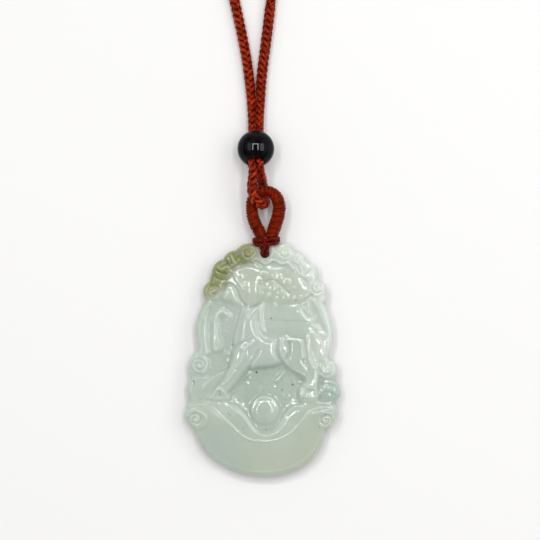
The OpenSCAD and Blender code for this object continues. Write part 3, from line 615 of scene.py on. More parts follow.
def mesh_from(name, places, *face_lists, smooth=True):
    """A mesh object from places in millimetres and arrays of faces."""
    mesh = bpy.data.meshes.new(name)
    mesh.vertices.add(len(places))
    mesh.vertices.foreach_set("co", (np.asarray(places, np.float32) * MM).ravel())
    corners = np.concatenate([np.asarray(f, np.int32).ravel() for f in face_lists])
    totals = np.concatenate([np.full(len(f), np.asarray(f).shape[1], np.int32) for f in face_lists])
    mesh.loops.add(len(corners))
    mesh.loops.foreach_set("vertex_index", corners)
    mesh.polygons.add(len(totals))
    mesh.polygons.foreach_set("loop_start", np.concatenate([[0], np.cumsum(totals)[:-1]]).astype(np.int32))
    mesh.polygons.foreach_set("loop_total", totals)
    mesh.polygons.foreach_set("use_smooth", np.full(len(totals), smooth))
    mesh.update(calc_edges=True)
    mesh.validate()
    return in_scene(bpy.data.objects.new(name, mesh))


def on_plaque(places):
    """Places on the sheet, as millimetres on the plaque."""
    return np.stack([(places[:, 0] - sheet_left) / sheet_across - 0.5,
                     0.5 - (places[:, 1] - sheet_top) / sheet_down], 1) * (plaque_w, plaque_h)


# The back's edge curls up by the first rise over the first distance, and at the nape by the second ones
edge_rise, nape_rise, edge_in, nape_in, nape_power = 0.6, 1.7, 2.2, 5.4, 6


def back_height(flat, depth):
    """The back's height at places on the plaque, from their depth inside its outline."""
    up_share = np.clip(flat[:, 1] / (plaque_h / 2), 0, 1)
    edge = edge_rise + (nape_rise - edge_rise) * up_share ** nape_power
    s = np.clip(depth * square / (edge_in + nape_in * up_share), 0, 1)
    return edge * (1 - s) ** 2


front_step, back_step = 0.62, 2.0
lip_depth, lip_reach = 0.25, 0.8      # the hole's polished lip, in millimetres and squares
front, front_faces, front_rim, front_hole = net_of_squares(front_step)
back, back_faces, back_rim, back_hole = net_of_squares(back_step)
front_z = sampled(relief, front[:, 0], front[:, 1])
front_z[front_rim] = rim_level
hole_away = np.hypot(*(front - hole_middle).T) - hole_radius
front_z -= lip_depth * np.exp(-np.clip(hole_away, 0, None) / lip_reach)
front_flat, back_flat = on_plaque(front), on_plaque(back)
back_depth = np.clip(sampled(outline_depth, back[:, 0], back[:, 1]), 0, None)
back_depth[back_rim] = 0
back_z = back_height(back_flat, back_depth)

# The side runs down from the front's rim in rings, bulges a little and draws in to the back's edge
side_rows, side_bulge, side_inset = 5, 0.12, 0.3
plaque_size = np.array((plaque_w, plaque_h))
rim_flat = front_flat[front_rim]
edge_bottom = back_height(rim_flat, np.zeros(len(rim_flat)))
side_quads = []
loop = list(front_rim)
n = len(loop)
places_all = [np.column_stack([front_flat, front_z]), np.column_stack([back_flat, back_z])]
next_free = len(front) + len(back)
for k in range(1, side_rows + 1):
    s = k / side_rows
    z = rim_level + (edge_bottom - rim_level) * (s - side_bulge * math.sin(math.pi * s))
    lower = list(range(next_free, next_free + n))
    places_all.append(np.column_stack([rim_flat * (1 - 2 * side_inset * s ** 3 / plaque_size), z]))
    side_quads += [(loop[i], lower[i], lower[(i + 1) % n], loop[(i + 1) % n]) for i in range(n)]
    loop = lower
    next_free += n
places_all = np.concatenate(places_all)
back_rim_ids = [len(front) + k for k in back_rim]
back_hole_ids = [len(front) + k for k in back_hole]
# The back's own rim takes the side's lower edge, so the two meet
places_all[back_rim_ids, :2] *= 1 - 2 * side_inset / plaque_size
flat_all = places_all[:, :2]
seam = zipped(loop, flat_all[loop], back_rim_ids, flat_all[back_rim_ids])
bore = zipped(list(front_hole), flat_all[front_hole], back_hole_ids, flat_all[back_hole_ids])
jade = mesh_from("jade_carving", places_all, front_faces[:, ::-1], back_faces + len(front), side_quads, seam,
                 bore)


def keep_numbers(obj, name, values):
    """Stores one number for each of the mesh's points, for its material to read."""
    attribute = obj.data.attributes.new(name, "FLOAT", "POINT")
    attribute.data.foreach_set("value", np.asarray(values, np.float32))


# Where the mesh's points lie on the sheet
jade_x = (places_all[:, 0] / plaque_w + 0.5) * sheet_across + sheet_left
jade_y = (0.5 - places_all[:, 1] / plaque_h) * sheet_down + sheet_top


def patch(points, soft):
    """How far each of the plaque's points belongs to a coloured area with a soft edge."""
    line = smooth_line(points, 3, closed=True)
    away = distance_to(line, jade_x, jade_y, closed=True)
    away = np.where(is_inside(line, jade_x, jade_y), -away, away)
    return np.clip(0.5 - away / (2 * soft), 0, 1)


# Areas of colour: name, strength, softness of the edge, outline. They are the stone's own olive corner, pale
# right side, smoky foot and head, bluish vein and foot and mauve breath, and the sunk ground under the belly,
# which is painted darker and greener as shade.
AREAS = [
    ("olive", 1, 7, [(196, 306), (206, 298), (217, 294), (226, 283), (234, 271), (243, 264.5), (255, 259),
        (258, 250), (254, 243), (238, 240), (200, 250), (192, 280)]),
    ("pale", 1, 16, [(276, 240), (345, 240), (346, 364), (322, 362), (312, 318), (306, 296), (294, 276),
        (280, 266)]),
    ("smoky", 1, 14, [(196, 416), (214, 414), (240, 438), (262, 443), (286, 438), (306, 414), (328, 416),
        (330, 480), (190, 480)]),
    ("smoky", 0.8, 9, [(238, 268), (258, 264), (290, 270), (304, 286), (300, 302), (280, 306), (250, 306),
        (238, 296)]),
    ("bluish", 1, 7, [(319, 382), (340, 381), (343, 400), (323, 401)]),
    ("blue_foot", 1, 14, [(198, 430), (215, 425), (236, 445), (240, 470), (215, 468), (195, 450)]),
    # the sunk ground under the belly, painted darker and greener as shade
    ("deep", 1, 9, [(250, 366), (285, 364), (302, 380), (298, 400), (286, 408), (248, 408), (236, 398),
        (242, 378)]),
    ("mauve", 1, 12, [(236, 318), (250, 312), (262, 345), (280, 345), (283, 362), (268, 367), (250, 366),
        (236, 340)]),
]
# Greener spots in the olive corner: across, down, radius. Then dark specks: across, down, strength.
MOSS = [
    (217.5, 271.5, 5), (224, 274, 5.5), (222.5, 283, 5), (228, 263, 5), (237, 258, 6), (213, 280, 4),
    (219, 262, 4), (244, 260, 4),
]
SPECKS = [
    (271, 318.2, .9), (256.7, 372.2, 1), (292.7, 384.4, 1), (193.8, 381, .9), (194, 383.5, .8),
    (232.3, 344.4, .8), (282.2, 389.6, .7), (265, 368, .4), (224.4, 365.5, .5), (229.3, 366.7, .5),
    (295.6, 300.4, .6), (311.3, 288.5, .5), (289.5, 292, .4), (284.5, 271.5, .5), (297, 273.5, .35),
    (271, 268.5, .5), (230.5, 300.2, .45), (233.5, 299, .4), (241, 304, .35), (217.5, 304.5, .4),
    (228.2, 412.9, .6), (230.4, 414.4, .6), (221.5, 416.7, .3), (243.3, 427.8, .6), (266.2, 429.5, .6),
    (325.5, 413.8, .6), (319.3, 426.7, .5), (286, 399.3, .5), (303.3, 397.8, .5), (245, 278.7, .3),
    (263.5, 277.8, .4), (286.5, 306.5, .4), (276.5, 317, .3), (282.5, 316.3, .3), (226, 329, .3),
    (221.5, 322, .35), (210, 330, .25), (317, 337, .25), (263, 391, .4), (247, 395, .35), (212, 399.5, .4),
]
speck_radius, valley_shade_depth = 0.95, 0.45
specks, moss = np.zeros(len(jade_x)), np.zeros(len(jade_x))
for x, y, strength in SPECKS:
    away = (jade_x - x) ** 2 + (jade_y - y) ** 2
    specks = np.maximum(specks, strength * np.exp(-away / (speck_radius * (0.7 + 0.4 * strength)) ** 2))
for x, y, reach in MOSS:
    moss = np.maximum(moss, np.exp(-((jade_x - x) ** 2 + (jade_y - y) ** 2) / reach ** 2))
areas = {"moss": moss, "specks": specks, "valley_shade": np.zeros(len(places_all))}
# Places that lie lower than their surroundings are painted darker and greener, as shade in the valleys
areas["valley_shade"][:len(front)] = np.clip(-sampled(cavity, front[:, 0], front[:, 1]) / valley_shade_depth, -1, 1)
for name, strength, soft, points in AREAS:
    areas[name] = np.maximum(areas.get(name, 0), strength * patch(points, soft))
for name, values in areas.items():
    keep_numbers(jade, name, values)

jade_stone, tree, shader = new_material("polished_jade")
jade.data.materials.append(jade_stone)


def node(tree, kind, *links, **settings):
    """A node with its settings made, and its first inputs linked or set in order."""
    made = tree.nodes.new(kind)
    for key, value in settings.items():
        setattr(made, key, value)
    for place, value in links:
        if isinstance(value, bpy.types.NodeSocket):
            tree.links.new(value, made.inputs[place])
        else:
            made.inputs[place].default_value = value
    return made


def stored(tree, name):
    """A number that the mesh keeps for each of its points."""
    return node(tree, "ShaderNodeAttribute", attribute_name=name).outputs["Fac"]


def blend_colour(tree, share, first, second):
    """A mix of two colours, by the second one's share."""
    return node(tree, "ShaderNodeMix", (0, share), (6, first), (7, second), data_type="RGBA").outputs[2]


def ramp(tree, value, low, high, low_out=0.0, high_out=1.0):
    """A value brought from one range to another, and held at that one's ends."""
    made = node(tree, "ShaderNodeMapRange", (0, value), (1, low), (2, high), (3, low_out), (4, high_out))
    return made.outputs[0]


coordinates = node(tree, "ShaderNodeTexCoord").outputs["Object"]
clouds, cotton, mottle = [
    node(tree, "ShaderNodeTexNoise", (0, coordinates), ("Scale", scale), ("Detail", detail),
         ("Roughness", rough), ("Distortion", drawn)).outputs["Fac"]
    for scale, detail, rough, drawn in ((140, 5, 0.6, 0), (330, 6, 0.65, 0.8), (900, 3, 0.5, 0))]
stone = blend_colour(tree, ramp(tree, clouds, 0.35, 0.68), (0.400, 0.464, 0.400, 1), (0.476, 0.531, 0.474, 1))


def product(tree, first, second):
    """One number times another."""
    return node(tree, "ShaderNodeMath", (0, first), (1, second), operation="MULTIPLY").outputs[0]


# The valleys, and the sunk ground under the belly, are painted darker here as shade; the other areas are the
# stone's own colours
for name, most, colour in (("valley_shade", 0.10, (0.26, 0.36, 0.26, 1)), ("pale", 0.75, (0.60, 0.64, 0.59, 1)),
                           ("smoky", 0.75, (0.445, 0.485, 0.40, 1)), ("mauve", 0.40, (0.47, 0.50, 0.50, 1)),
                           ("bluish", 0.45, (0.25, 0.36, 0.32, 1)), ("blue_foot", 0.5, (0.38, 0.45, 0.43, 1)),
                           ("deep", 0.35, (0.33, 0.42, 0.34, 1))):
    stone = blend_colour(tree, ramp(tree, stored(tree, name), 0, 1, 0, most), stone, colour)
stone = blend_colour(tree, ramp(tree, cotton, 0.56, 0.74, 0, 0.22), stone, (0.58, 0.63, 0.57, 1))
olive_share = product(tree, stored(tree, "olive"), ramp(tree, cotton, 0.3, 0.62, 0.95, 0.70))
stone = blend_colour(tree, olive_share, stone, (0.205, 0.203, 0.042, 1))
moss_share = product(tree, stored(tree, "moss"), ramp(tree, cotton, 0.40, 0.60, 0.1, 0.85))
stone = blend_colour(tree, moss_share, stone, (0.055, 0.110, 0.022, 1))
stone = blend_colour(tree, ramp(tree, mottle, 0.62, 0.75, 0, 0.10), stone, (0.26, 0.32, 0.24, 1))
speck_share = ramp(tree, stored(tree, "specks"), 0.1, 0.85, 0, 0.85)
stone = blend_colour(tree, speck_share, stone, (0.03, 0.04, 0.025, 1))
tree.links.new(stone, shader.inputs["Base Color"])
tree.links.new(ramp(tree, mottle, 0.3, 0.8, 0.045, 0.11), shader.inputs["Roughness"])
shader.inputs["IOR"].default_value = 1.66
shader.inputs["Specular IOR Level"].default_value = 0.42
shader.inputs["Subsurface Weight"].default_value = 0.85
shader.inputs["Subsurface Radius"].default_value = (1.0, 1.2, 1.0)
shader.inputs["Subsurface Scale"].default_value = 3.2 * MM
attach(jade, "root")
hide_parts("jade_plaque")


# The bail cord
# A thin, dark maroon, three-ply cord, doubled. It runs from the wound ring's two ends over the plaque's
# collar, down through the hanging hole, up behind the plaque and round to a band across the front: a lark's
# head.
bail_d = 0.93
bail_ply_turn = 2.1       # length of one turn of the three plies
band_shift = 0.3          # how far the band sits to the right of the hole
band_tilt = 0.14          # and how much its right end lies higher
# One side, as in the solid: x from the hole's axis and y from the plaque's top edge as shares of the strand's
# diameter, z in millimetres, the x and y of the pair's wide side, the turn of the pair in degrees, its spread
# and its thickness, and its share of the band's shift.
BAIL_SIDE = [
    (0.66, 0.00, 4.71, 1.0, 0.00, 90, 0.55, 0.95, 0), (0.60, -1.20, 5.20, 1.0, 0.00, 90, 0.55, 0.95, 0),
    (0.44, -2.35, 4.95, 1.0, 0.00, 90, 0.50, 0.90, 0), (0.34, -2.85, 3.60, 1.0, 0.00, 90, 0.50, 0.86, 0),
    (0.56, -2.45, 2.23, 1.0, 0.00, 90, 0.55, 0.86, 0), (0.62, -2.10, 0.88, 1.0, 0.00, 45, 0.45, 0.78, 0),
    (1.05, -1.00, 0.54, 1.0, 0.00, 0, 0.94, 0.94, .3), (1.35, 0.20, 0.56, 0.9, -0.45, 0, 0.94, 0.94, .8),
    (2.05, 0.80, 1.21, 0.3, -0.95, 0, 0.66, 0.90, 1), (2.75, 0.75, 2.98, 0.0, -1.00, 0, 0.42, 0.88, 1),
    (2.70, 0.58, 4.71, 0.0, -1.00, 0, 0.66, 0.94, 1), (2.05, 0.24, 5.74, 0.0, -1.00, 0, 1.02, 0.98, 1),
    (1.10, 0.15, 6.11, 0.0, -1.00, 0, 1.06, 1.00, 1),
]
# The two straight bits at the ring's ends: x, y, z, right end then left end
BAIL_TAILS = [[(2.11, 27.29, 3.42), (1.95, 26.85, 3.41)], [(-0.17, 26.81, 3.40), (0.07, 26.43, 3.39)]]


def unit(v):
    """Vectors brought to a length of one."""
    return v / np.linalg.norm(v, axis=-1, keepdims=True)


def square_to(way, v):
    """The direction nearest to v that stands square to the way."""
    return unit(v - (v * way).sum(1)[:, None] * way)


def length_along(points):
    """The length of a line from its start to each of its points."""
    return np.concatenate([[0], np.cumsum(np.linalg.norm(np.diff(points, axis=0), axis=1))])


def bail_rows(side):
    """One side's rows, from the ring's end to the middle of the band."""
    rows = [(x, y, z, side, 0, 90, 0.55, 0.78) for x, y, z in BAIL_TAILS[0 if side > 0 else 1]]
    for x, y, z, wide_x, wide_y, turn, spread, thick, shifted in BAIL_SIDE:
        rows.append((hole_x + side * x * bail_d + shifted * band_shift,
                     plaque_h / 2 + (y + band_tilt * side * shifted) * bail_d, z,
                     side * wide_x, wide_y, turn, spread, thick))
    return rows


def tube(points, across, up, wide, deep, sides, closed=False):
    """An oval tube along a line: its places, faces, end faces, and where each lies round and along it."""
    n = len(points)
    angle = np.arange(sides) * 2 * math.pi / sides
    rim = (across[:, None] * (np.cos(angle)[:, None] * np.reshape(wide, (-1, 1, 1)))
           + up[:, None] * (np.sin(angle)[:, None] * np.reshape(deep, (-1, 1, 1))))
    places = (points[:, None] + rim).reshape(-1, 3)
    i, j = np.meshgrid(np.arange(n if closed else n - 1), np.arange(sides), indexing="ij")
    following = (i + 1) % n
    quads = np.stack([i * sides + j, i * sides + (j + 1) % sides, following * sides + (j + 1) % sides,
                      following * sides + j], -1).reshape(-1, 4)
    fibre = np.stack([np.tile(np.cos(angle), n), np.tile(np.sin(angle), n),
                      np.repeat(length_along(points), sides)], 1)
    ends = np.zeros((0, 3), int)
    if not closed:
        k = np.arange(1, sides - 1)
        last = (n - 1) * sides
        ends = np.concatenate([np.stack([0 * k, k + 1, k], 1),
                               np.stack([last + 0 * k, last + k, last + k + 1], 1)])
    return places, quads, ends, fibre


def piece_of(name, parts):
    """One mesh object of many tubes, with the fibre's place kept for its material."""
    places, quads, ends, fibres, count = [], [], [], [], 0
    for number, (p, q, e, f) in enumerate(parts):
        places.append(p)
        quads.append(q + count)
        ends.append(e + count)
        fibres.append(f + (0, 0, 37.0 * number))      # set apart, so no two strands have the same flecks
        count += len(p)
    obj = mesh_from(name, np.concatenate(places), np.concatenate(quads), np.concatenate(ends))
    attribute = obj.data.attributes.new("fibre", "FLOAT_VECTOR", "POINT")
    attribute.data.foreach_set("vector", np.concatenate(fibres).astype(np.float32).ravel())
    return obj


def along_rows(rows, step):
    """Rows on a smooth curve through some rows, evenly spaced along the line of their first three columns."""
    fine = smooth_line(rows, step / 6)
    reach = length_along(fine[:, :3])
    at = np.linspace(0, reach[-1], max(2, int(reach[-1] / step) + 1))
    return np.stack([np.interp(at, reach, fine[:, k]) for k in range(fine.shape[1])], 1), at


def plies(line, first, second, radius, turn_length, count, sides, start=0.0, swell=0.52):
    """The plies of a twisted strand round its line, which has two directions square to it."""
    at = length_along(line)
    found = []
    for k in range(count):
        angle = start + 2 * math.pi * (at / turn_length + k / count)
        out = first * np.cos(angle)[:, None] + second * np.sin(angle)[:, None]
        centre = line + out * (0.5 * radius)[:, None]
        way = unit(np.gradient(centre, axis=0))
        outward = square_to(way, out)
        found.append(tube(centre, unit(np.cross(outward, way)), outward, radius * swell, radius * swell,
                          sides))
    return found


bail_route, _ = along_rows(bail_rows(1) + bail_rows(-1)[::-1], 0.11)
bail_line = bail_route[:, :3]
bail_way = unit(np.gradient(bail_line, axis=0))
bail_wide = square_to(bail_way, np.column_stack([bail_route[:, 3:5], np.zeros(len(bail_line))]))
bail_high = np.cross(bail_way, bail_wide)
bail_turn = np.radians(bail_route[:, 5])[:, None]
bail_apart = bail_wide * np.cos(bail_turn) + bail_high * np.sin(bail_turn)
bail_parts = []
for side in (-1, 1):
    strand = bail_line + bail_apart * (side * bail_route[:, 6] * bail_d / 2)[:, None]
    bail_parts += plies(strand, bail_wide, bail_high, bail_route[:, 7] * bail_d / 2, bail_ply_turn, 3, 8,
                        start=side)
bail = piece_of("bail_strands", bail_parts)


def fibre_shading(group_name):
    """Fine fibres along a strand, as a shader node group. Its inputs are how many lie round the strand, how
    long the flecks are and how strong they look. Its outputs are a light and dark mask, how far the strand's
    side faces outward, which is used to paint its inner side darker as shade, and a height."""
    group = bpy.data.node_groups.new(group_name, "ShaderNodeTree")
    for name, value in (("Round", 4.0), ("Length", 1.0), ("Contrast", 1.0)):
        socket = group.interface.new_socket(name, in_out="INPUT", socket_type="NodeSocketFloat")
        socket.default_value = value
    for name in ("Flecks", "Open", "Height"):
        group.interface.new_socket(name, in_out="OUTPUT", socket_type="NodeSocketFloat")

    def sum_of(value, share, rest, **settings):
        return node(group, "ShaderNodeMath", (0, value), (1, share), (2, rest), operation="MULTIPLY_ADD",
                    **settings).outputs[0]

    given = group.nodes.new("NodeGroupInput")
    result = group.nodes.new("NodeGroupOutput")
    place = node(group, "ShaderNodeAttribute", attribute_name="fibre").outputs["Vector"]
    split = node(group, "ShaderNodeSeparateXYZ", (0, place))
    stretched = node(group, "ShaderNodeCombineXYZ", *[
        (k, node(group, "ShaderNodeMath", (0, split.outputs[k]), (1, given.outputs[by]),
                 operation=how).outputs[0])
        for k, by, how in ((0, "Round", "MULTIPLY"), (1, "Round", "MULTIPLY"), (2, "Length", "DIVIDE"))])
    wider = node(group, "ShaderNodeVectorMath", (0, stretched.outputs[0]), (1, (0.2, 0.2, 0.16)),
                 operation="MULTIPLY")
    fine = node(group, "ShaderNodeTexNoise", (0, stretched.outputs[0]), ("Scale", 1.0), ("Detail", 4.0),
                ("Roughness", 0.65))
    slow = node(group, "ShaderNodeTexNoise", (0, wider.outputs[0]), ("Scale", 1.0), ("Detail", 2.0))
    spread = ramp(group, fine.outputs["Fac"], 0.32, 0.68)
    both = sum_of(spread, 0.6, sum_of(ramp(group, slow.outputs["Fac"], 0.3, 0.7), 0.4, 0.0))
    around_zero = node(group, "ShaderNodeMath", (0, both), (1, 0.5), operation="SUBTRACT").outputs[0]
    flecks = sum_of(around_zero, given.outputs["Contrast"], 0.5, use_clamp=True)
    group.links.new(flecks, result.inputs["Flecks"])
    group.links.new(ramp(group, split.outputs[1], 0.1, 0.9), result.inputs["Open"])
    group.links.new(spread, result.inputs["Height"])
    return group


fibres = fibre_shading("thread_fibres")


def thread_material(name, dark, light, round_count, length, contrast, bump, roughness):
    """Twisted or braided thread: its dark and light colour, its fibres' numbers, its bump and roughness."""
    material, tree, shader = new_material(name)
    used = tree.nodes.new("ShaderNodeGroup")
    used.node_tree = fibres
    for key, value in (("Round", round_count), ("Length", length), ("Contrast", contrast)):
        used.inputs[key].default_value = value
    thread = blend_colour(tree, used.outputs["Flecks"], dark, light)
    # The side of each strand or thread that faces in, against its neighbours or the core, is painted darker
    # as shade
    inner_side_shade = tuple(c * 0.12 for c in dark[:3]) + (1,)
    tree.links.new(blend_colour(tree, used.outputs["Open"], inner_side_shade, thread), shader.inputs["Base Color"])
    raised = node(tree, "ShaderNodeBump", ("Strength", bump), ("Distance", 0.06 * MM),
                  ("Height", used.outputs["Height"]))
    tree.links.new(raised.outputs[0], shader.inputs["Normal"])
    for key, value in (("Roughness", roughness), ("Sheen Weight", 0.01), ("Sheen Roughness", 0.4),
                       ("Sheen Tint", light), ("Specular IOR Level", 0.5),
                       ("Specular Tint", (1, 0.22, 0.08, 1))):
        shader.inputs[key].default_value = value
    return material


bail.data.materials.append(thread_material(
    "maroon_cord", (0.035, 0.001, 0.001, 1), (0.24, 0.009, 0.007, 1), 3.0, 0.6, 1.5, 0.5, 0.42))
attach(bail, "root")
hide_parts("bail_cord")


# The wound ring
# A teardrop loop of cord, wound from end to end with a doubled rust-brown thread, about a hundred threads
# across in all. The neck cord hangs it from its upper left shoulder, and the bail cord comes out of its ends.
ring_wire_d = 2.7
ring_x, ring_foot, ring_z, ring_rise = 1.05, 26.85, 3.40, 0.35   # where its ends lie, and its plane's slope
ring_across, ring_high = 6.1, 9.75
thread_pitch = 0.54       # of a pair of threads, wound side by side
thread_radius = 0.165
thread_slant = 0.24       # how far the turns lean along the ring, as a share of its radius
second_behind, second_sunk = 0.46, 0.07   # the pair's second thread: turns later, and how much deeper
core_inside = 0.24        # how far the core lies inside the winding
# As in the solid: x and y in shares of the ring's size, how much higher than the ring's plane in millimetres,
# and the wound thickness as a share of the wire's.
RING = [
    (-.16, -.05, -.4, .95), (-.31, .13, -.3, 1.06), (-.475, .34, -.1, 1.05), (-.55, .56, 0, 1.0),
    (-.55, .76, 0, .96), (-.46, .90, 0, .92), (-.28, .99, 0, .86), (-.04, 1.01, 0, .86), (.18, .955, 0, .96),
    (.35, .83, 0, 1.06), (.42, .65, 0, 1.08), (.375, .43, .1, 1.12), (.27, .22, .3, 1.12),
    (.14, -.03, .45, 1.04),
]
random = np.random.default_rng(7)


def wavering(at, spacing, size):
    """A number that wanders smoothly along a length."""
    knots = np.arange(0, at[-1] + 2 * spacing, spacing)
    return np.interp(at, knots, random.normal(0, size, len(knots)))


ring_rows = [(ring_x + x * ring_across, ring_foot + y * ring_high, ring_z + ring_rise * y + lift, thick)
             for x, y, lift, thick in RING]
ring_route, ring_at = along_rows(ring_rows, thread_pitch / 36)
ring_line = ring_route[:, :3]
ring_way = unit(np.gradient(ring_line, axis=0))
ring_side = square_to(ring_way, np.array((0, 0, 1.0)))
ring_out = np.cross(ring_way, ring_side)
ring_radius = ring_route[:, 3] * ring_wire_d / 2
wind = 2 * math.pi * (ring_at / thread_pitch + wavering(ring_at, 1.1, 0.10))
slip = wavering(ring_at, thread_pitch * 0.5, 0.05)
end_round = np.sqrt(np.clip(np.minimum(ring_at, ring_at[-1] - ring_at) / 0.5, 0.05, 1))
thread_parts = []
for behind, sunk in ((0, 0), (second_behind, second_sunk)):
    turned = wind - 2 * math.pi * behind
    radial = ring_side * np.cos(turned)[:, None] + ring_out * np.sin(turned)[:, None]
    along = thread_slant * ring_radius * np.sin(turned) + slip
    reach = (ring_radius - thread_radius - sunk) * (0.72 + 0.28 * end_round)
    reach += wavering(ring_at, thread_pitch * 0.4, 0.045)
    thread = ring_line + ring_way * along[:, None] + radial * reach[:, None]
    thick = np.full(len(thread), thread_radius)
    thread_parts.append(tube(thread, ring_way, radial, thick, thick, 6))
core_rows = slice(0, len(ring_line), 24)
core_radius = ring_radius[core_rows] - core_inside
core_part = tube(ring_line[core_rows], ring_side[core_rows], ring_out[core_rows],
                 core_radius, core_radius, 20)
ring = piece_of("ring_winding", thread_parts + [core_part])
ring.data.materials.append(thread_material(
    "rust_thread", (0.045, 0.002, 0.0005, 1), (0.32, 0.018, 0.002, 1), 1.6, 0.5, 2.2, 0.4, 0.46))
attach(ring, "root")
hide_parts("wrapped_ring")


# The bead
# A round bead of black stone, drilled through and polished like a mirror. It slides on the doubled neck
# cord, and its lower mouth is tipped up to the front by the cord that leaves it.
bead_place = np.array((-1.45, 45.75, 4.0))
bead_d, bore_d, bead_tilt = 8.0, 3.6, 30
bead_steps = 128
mouth_lip = 0.16          # the drilled edge is broken by this much


def bead_profile():
    """Radius and height of the bead's section, from the upper mouth round the outside and up the bore."""
    bead_r = bead_d / 2
    start = math.asin((bore_d / 2 + mouth_lip) / bead_r)
    ball = [(bead_r * math.sin(a), bead_r * math.cos(a)) for a in np.linspace(start, math.pi - start, 72)]
    half = math.sqrt(bead_d ** 2 - bore_d ** 2) / 2 - mouth_lip
    lip = [(bore_d / 2 + mouth_lip * (1 - math.sin(a)), half + 0.54 * mouth_lip * math.cos(a))
           for a in np.linspace(0.2, math.pi / 2, 6)]
    bore = [(bore_d / 2, z) for z in np.linspace(-half, half, 12)]
    return ball + [(r, -z) for r, z in lip] + bore[1:-1] + lip[::-1]


profile = np.array(bead_profile())
around = np.arange(bead_steps) * 2 * math.pi / bead_steps
lathe = np.stack([profile[:, 0][:, None] * np.cos(around), profile[:, 0][:, None] * np.sin(around),
                  np.repeat(profile[:, 1][:, None], bead_steps, 1)], -1).reshape(-1, 3)
lean = math.radians(90 - bead_tilt)
lathe = np.column_stack([lathe[:, 0], lathe[:, 1] * math.cos(lean) - lathe[:, 2] * math.sin(lean),
                         lathe[:, 1] * math.sin(lean) + lathe[:, 2] * math.cos(lean)]) + bead_place
i, j = np.meshgrid(np.arange(len(profile)), np.arange(bead_steps), indexing="ij")
following = (i + 1) % len(profile)
bead_faces = np.stack([i * bead_steps + j, following * bead_steps + j,
                       following * bead_steps + (j + 1) % bead_steps, i * bead_steps + (j + 1) % bead_steps],
                      -1).reshape(-1, 4)
bead = mesh_from("drilled_bead", lathe, bead_faces)
black_stone, tree, shader = new_material("black_stone")
bead_place_in = node(tree, "ShaderNodeTexCoord").outputs["Object"]
smoke = node(tree, "ShaderNodeTexNoise", (0, bead_place_in), ("Scale", 500.0), ("Detail", 4.0))
tree.links.new(blend_colour(tree, ramp(tree, smoke.outputs["Fac"], 0.4, 0.7), (0.003, 0.003, 0.0035, 1),
                            (0.010, 0.010, 0.011, 1)), shader.inputs["Base Color"])
tree.links.new(ramp(tree, smoke.outputs["Fac"], 0.3, 0.7, 0.03, 0.07), shader.inputs["Roughness"])
shader.inputs["IOR"].default_value = 1.38
facing = node(tree, "ShaderNodeLayerWeight", ("Blend", 0.5)).outputs["Facing"]
tree.links.new(ramp(tree, facing, 0.2, 0.34, 0.5, 0.06), shader.inputs["Specular IOR Level"])
bead.data.materials.append(black_stone)
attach(bead, "root")
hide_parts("bead")


# The neck cord
# An endless round braid of eight silky red-brown strands, 2.3 mm thick and about 640 mm long. Two legs lie
# side by side through the bead, squeezed in its bore, and the bight between them passes through the ring.
cord_d = 2.3
cord_level = cord_d / 2
# In shares of the cord's diameter: how far out the strands lie, how far they weave in and out, and their size
strand_out, strand_weave, strand_wide, strand_deep = 0.262, 0.112, 0.205, 0.150
# The route as in the solid: x, y, z, then the braid's width and depth as shares of its diameter
LINK = [
    (-1.97, 35.55, 6.38, 1, 1), (-2.22, 37.31, 6.56, 1, 1), (-2.03, 39.35, 6.74, .98, 1),
    (-2.08, 41.39, 6.40, .80, 1), (-2.325, 42.66, 5.79, .717, .976), (-2.325, 48.84, 2.21, .717, .976),
    (-2.34, 51.95, 1.58, .73, 1), (-2.42, 54.59, 1.24, .80, 1), (-2.55, 57.47, 1.15, .90, 1),
    (-2.83, 60.57, 1.15, 1, 1),
]
NECK = [
    (-1.9, 18.8), (-2.7, 23.3), (-4.7, 32.6), (-12.2, 64.5), (-21.8, 103), (-33, 142.5), (-44, 177),
    (-53, 206.5), (-57, 226.5), (-56, 246.5), (-49, 262), (-35.5, 272), (-14, 276), (8.5, 274), (23, 266),
    (32, 251), (35, 231), (33, 211), (27, 180.5), (19, 145), (12, 104.5), (6.8, 64.5), (3.3, 32.6),
    (2.2, 23.3), (1.6, 18.8),
]
RETURN = [
    (-.25, 60.57, 1.15, 1, 1), (-.37, 57.47, 1.15, .90, 1), (-.48, 54.59, 1.24, .80, 1),
    (-.56, 51.95, 1.58, .73, 1), (-.575, 48.84, 2.21, .717, .976), (-.575, 42.66, 5.79, .717, .976),
    (-.46, 41.57, 6.26, .76, 1), (-.37, 40.34, 5.59, .85, 1), (-.23, 39.49, 4.10, .95, 1),
    (-.12, 38.75, 2.51, 1, 1), (-.02, 37.95, 1.45, 1, 1), (.16, 36.55, 1.15, 1, 1), (.25, 35.76, 1.28, 1, 1),
    (.40, 34.95, 1.74, 1, 1), (.45, 34.20, 2.63, 1, 1), (.27, 33.75, 3.80, 1, 1), (-.25, 33.70, 4.97, 1, 1),
    (-.95, 34.07, 5.83, 1, 1), (-1.60, 34.77, 6.25, 1, 1),
]
cord_rows = LINK + [(bead_place[0] + x, bead_place[1] + y, cord_level, 1, 1) for x, y in NECK] + RETURN
fine = smooth_line(cord_rows, 0.05, closed=True)
fine = np.concatenate([fine, fine[:1]])
fine[:, 2] = np.maximum(fine[:, 2], cord_level)
reach = length_along(fine[:, :3])
cord_length = reach[-1]
braid_turn = cord_length / round(cord_length / 5.4)   # the length in which a strand goes once round the braid
roll_turns = round(cord_length / 190)     # slow turns of the whole braid on its way round
near_length, near_middle = 130.0, 12      # the stretch that the picture shows gets the finer mesh


def cord_frames(at):
    """The cord's line at some lengths, with its side and upper directions and its squeeze."""
    rows = np.stack([np.interp(at % cord_length, reach, fine[:, k]) for k in range(5)], 1)
    line = rows[:, :3]
    way = unit(np.stack([np.interp((at + 0.3) % cord_length, reach, fine[:, k])
                         - np.interp((at - 0.3) % cord_length, reach, fine[:, k]) for k in range(3)], 1))
    return line, way, rows[:, 3], rows[:, 4]


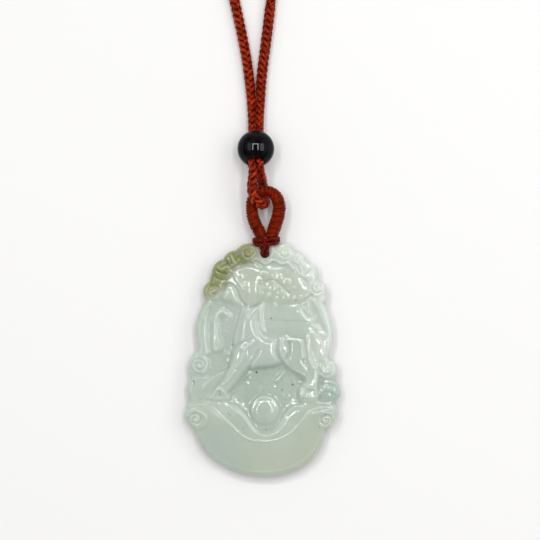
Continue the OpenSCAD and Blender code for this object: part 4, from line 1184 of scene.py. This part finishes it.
coarse_at = np.linspace(0, cord_length, 6000)
_, coarse_way, _, _ = cord_frames(coarse_at)
side = np.array((1.0, 0, 0))
carried = []
for way in coarse_way:
    side = side - (side @ way) * way
    side = side / np.linalg.norm(side)
    carried.append(side)
carried = np.array(carried)
closing = math.atan2(np.cross(carried[-1], carried[0]) @ coarse_way[0], carried[-1] @ carried[0])
if abs(closing) > math.pi / 2:
    closing -= math.copysign(math.pi, closing)


def braid(at, sides):
    """The braid's eight strands over a stretch of the cord. Four turn one way and four the other, and each
    passes over two and under two, so the stitches stand in columns."""
    line, way, wide_share, deep_share = cord_frames(at)
    across = unit(np.stack([np.interp(at % cord_length, coarse_at, carried[:, k]) for k in range(3)], 1))
    across = square_to(way, across)
    up = np.cross(way, across)
    turned = 2 * math.pi * at / braid_turn
    roll = closing * at / cord_length + 2 * math.pi * roll_turns * at / cord_length
    parts = []
    for k in range(8):
        sense = 1 if k < 4 else -1
        angle = sense * turned + (k % 4) * math.pi / 2 + math.pi / 2 - math.pi / 8
        over = np.sin(2 * turned + (k % 4) * math.pi + (math.pi / 4 if k < 4 else -math.pi / 4))
        over = np.tanh(1.6 * over) / math.tanh(1.6)
        direction = angle + roll
        out = (across * (np.cos(direction) * wide_share)[:, None]
               + up * (np.sin(direction) * deep_share)[:, None])
        centre = line + out * (cord_d * (strand_out + strand_weave * over))[:, None]
        strand_way = unit(np.gradient(centre, axis=0))
        normal = square_to(strand_way, out)
        squeeze = np.sqrt(wide_share * deep_share)
        parts.append(tube(centre, unit(np.cross(normal, strand_way)), normal,
                          strand_wide * cord_d * squeeze, strand_deep * cord_d * squeeze, sides))
    return parts


near_at = np.linspace(near_middle - near_length / 2, near_middle + near_length / 2, 1000)
far_at = np.linspace(near_middle + near_length / 2, near_middle + cord_length - near_length / 2, 1560)
silk = thread_material(
    "braided_silk", (0.055, 0.001, 0.0005, 1), (0.44, 0.028, 0.003, 1), 2.6, 0.55, 1.8, 0.6, 0.32)
for name, at, sides in (("neck_cord_front", near_at, 10), ("neck_cord_back", far_at, 6)):
    cord = piece_of(name, braid(at, sides))
    cord.data.materials.append(silk)
    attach(cord, "root")
    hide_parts("necklace_cord")
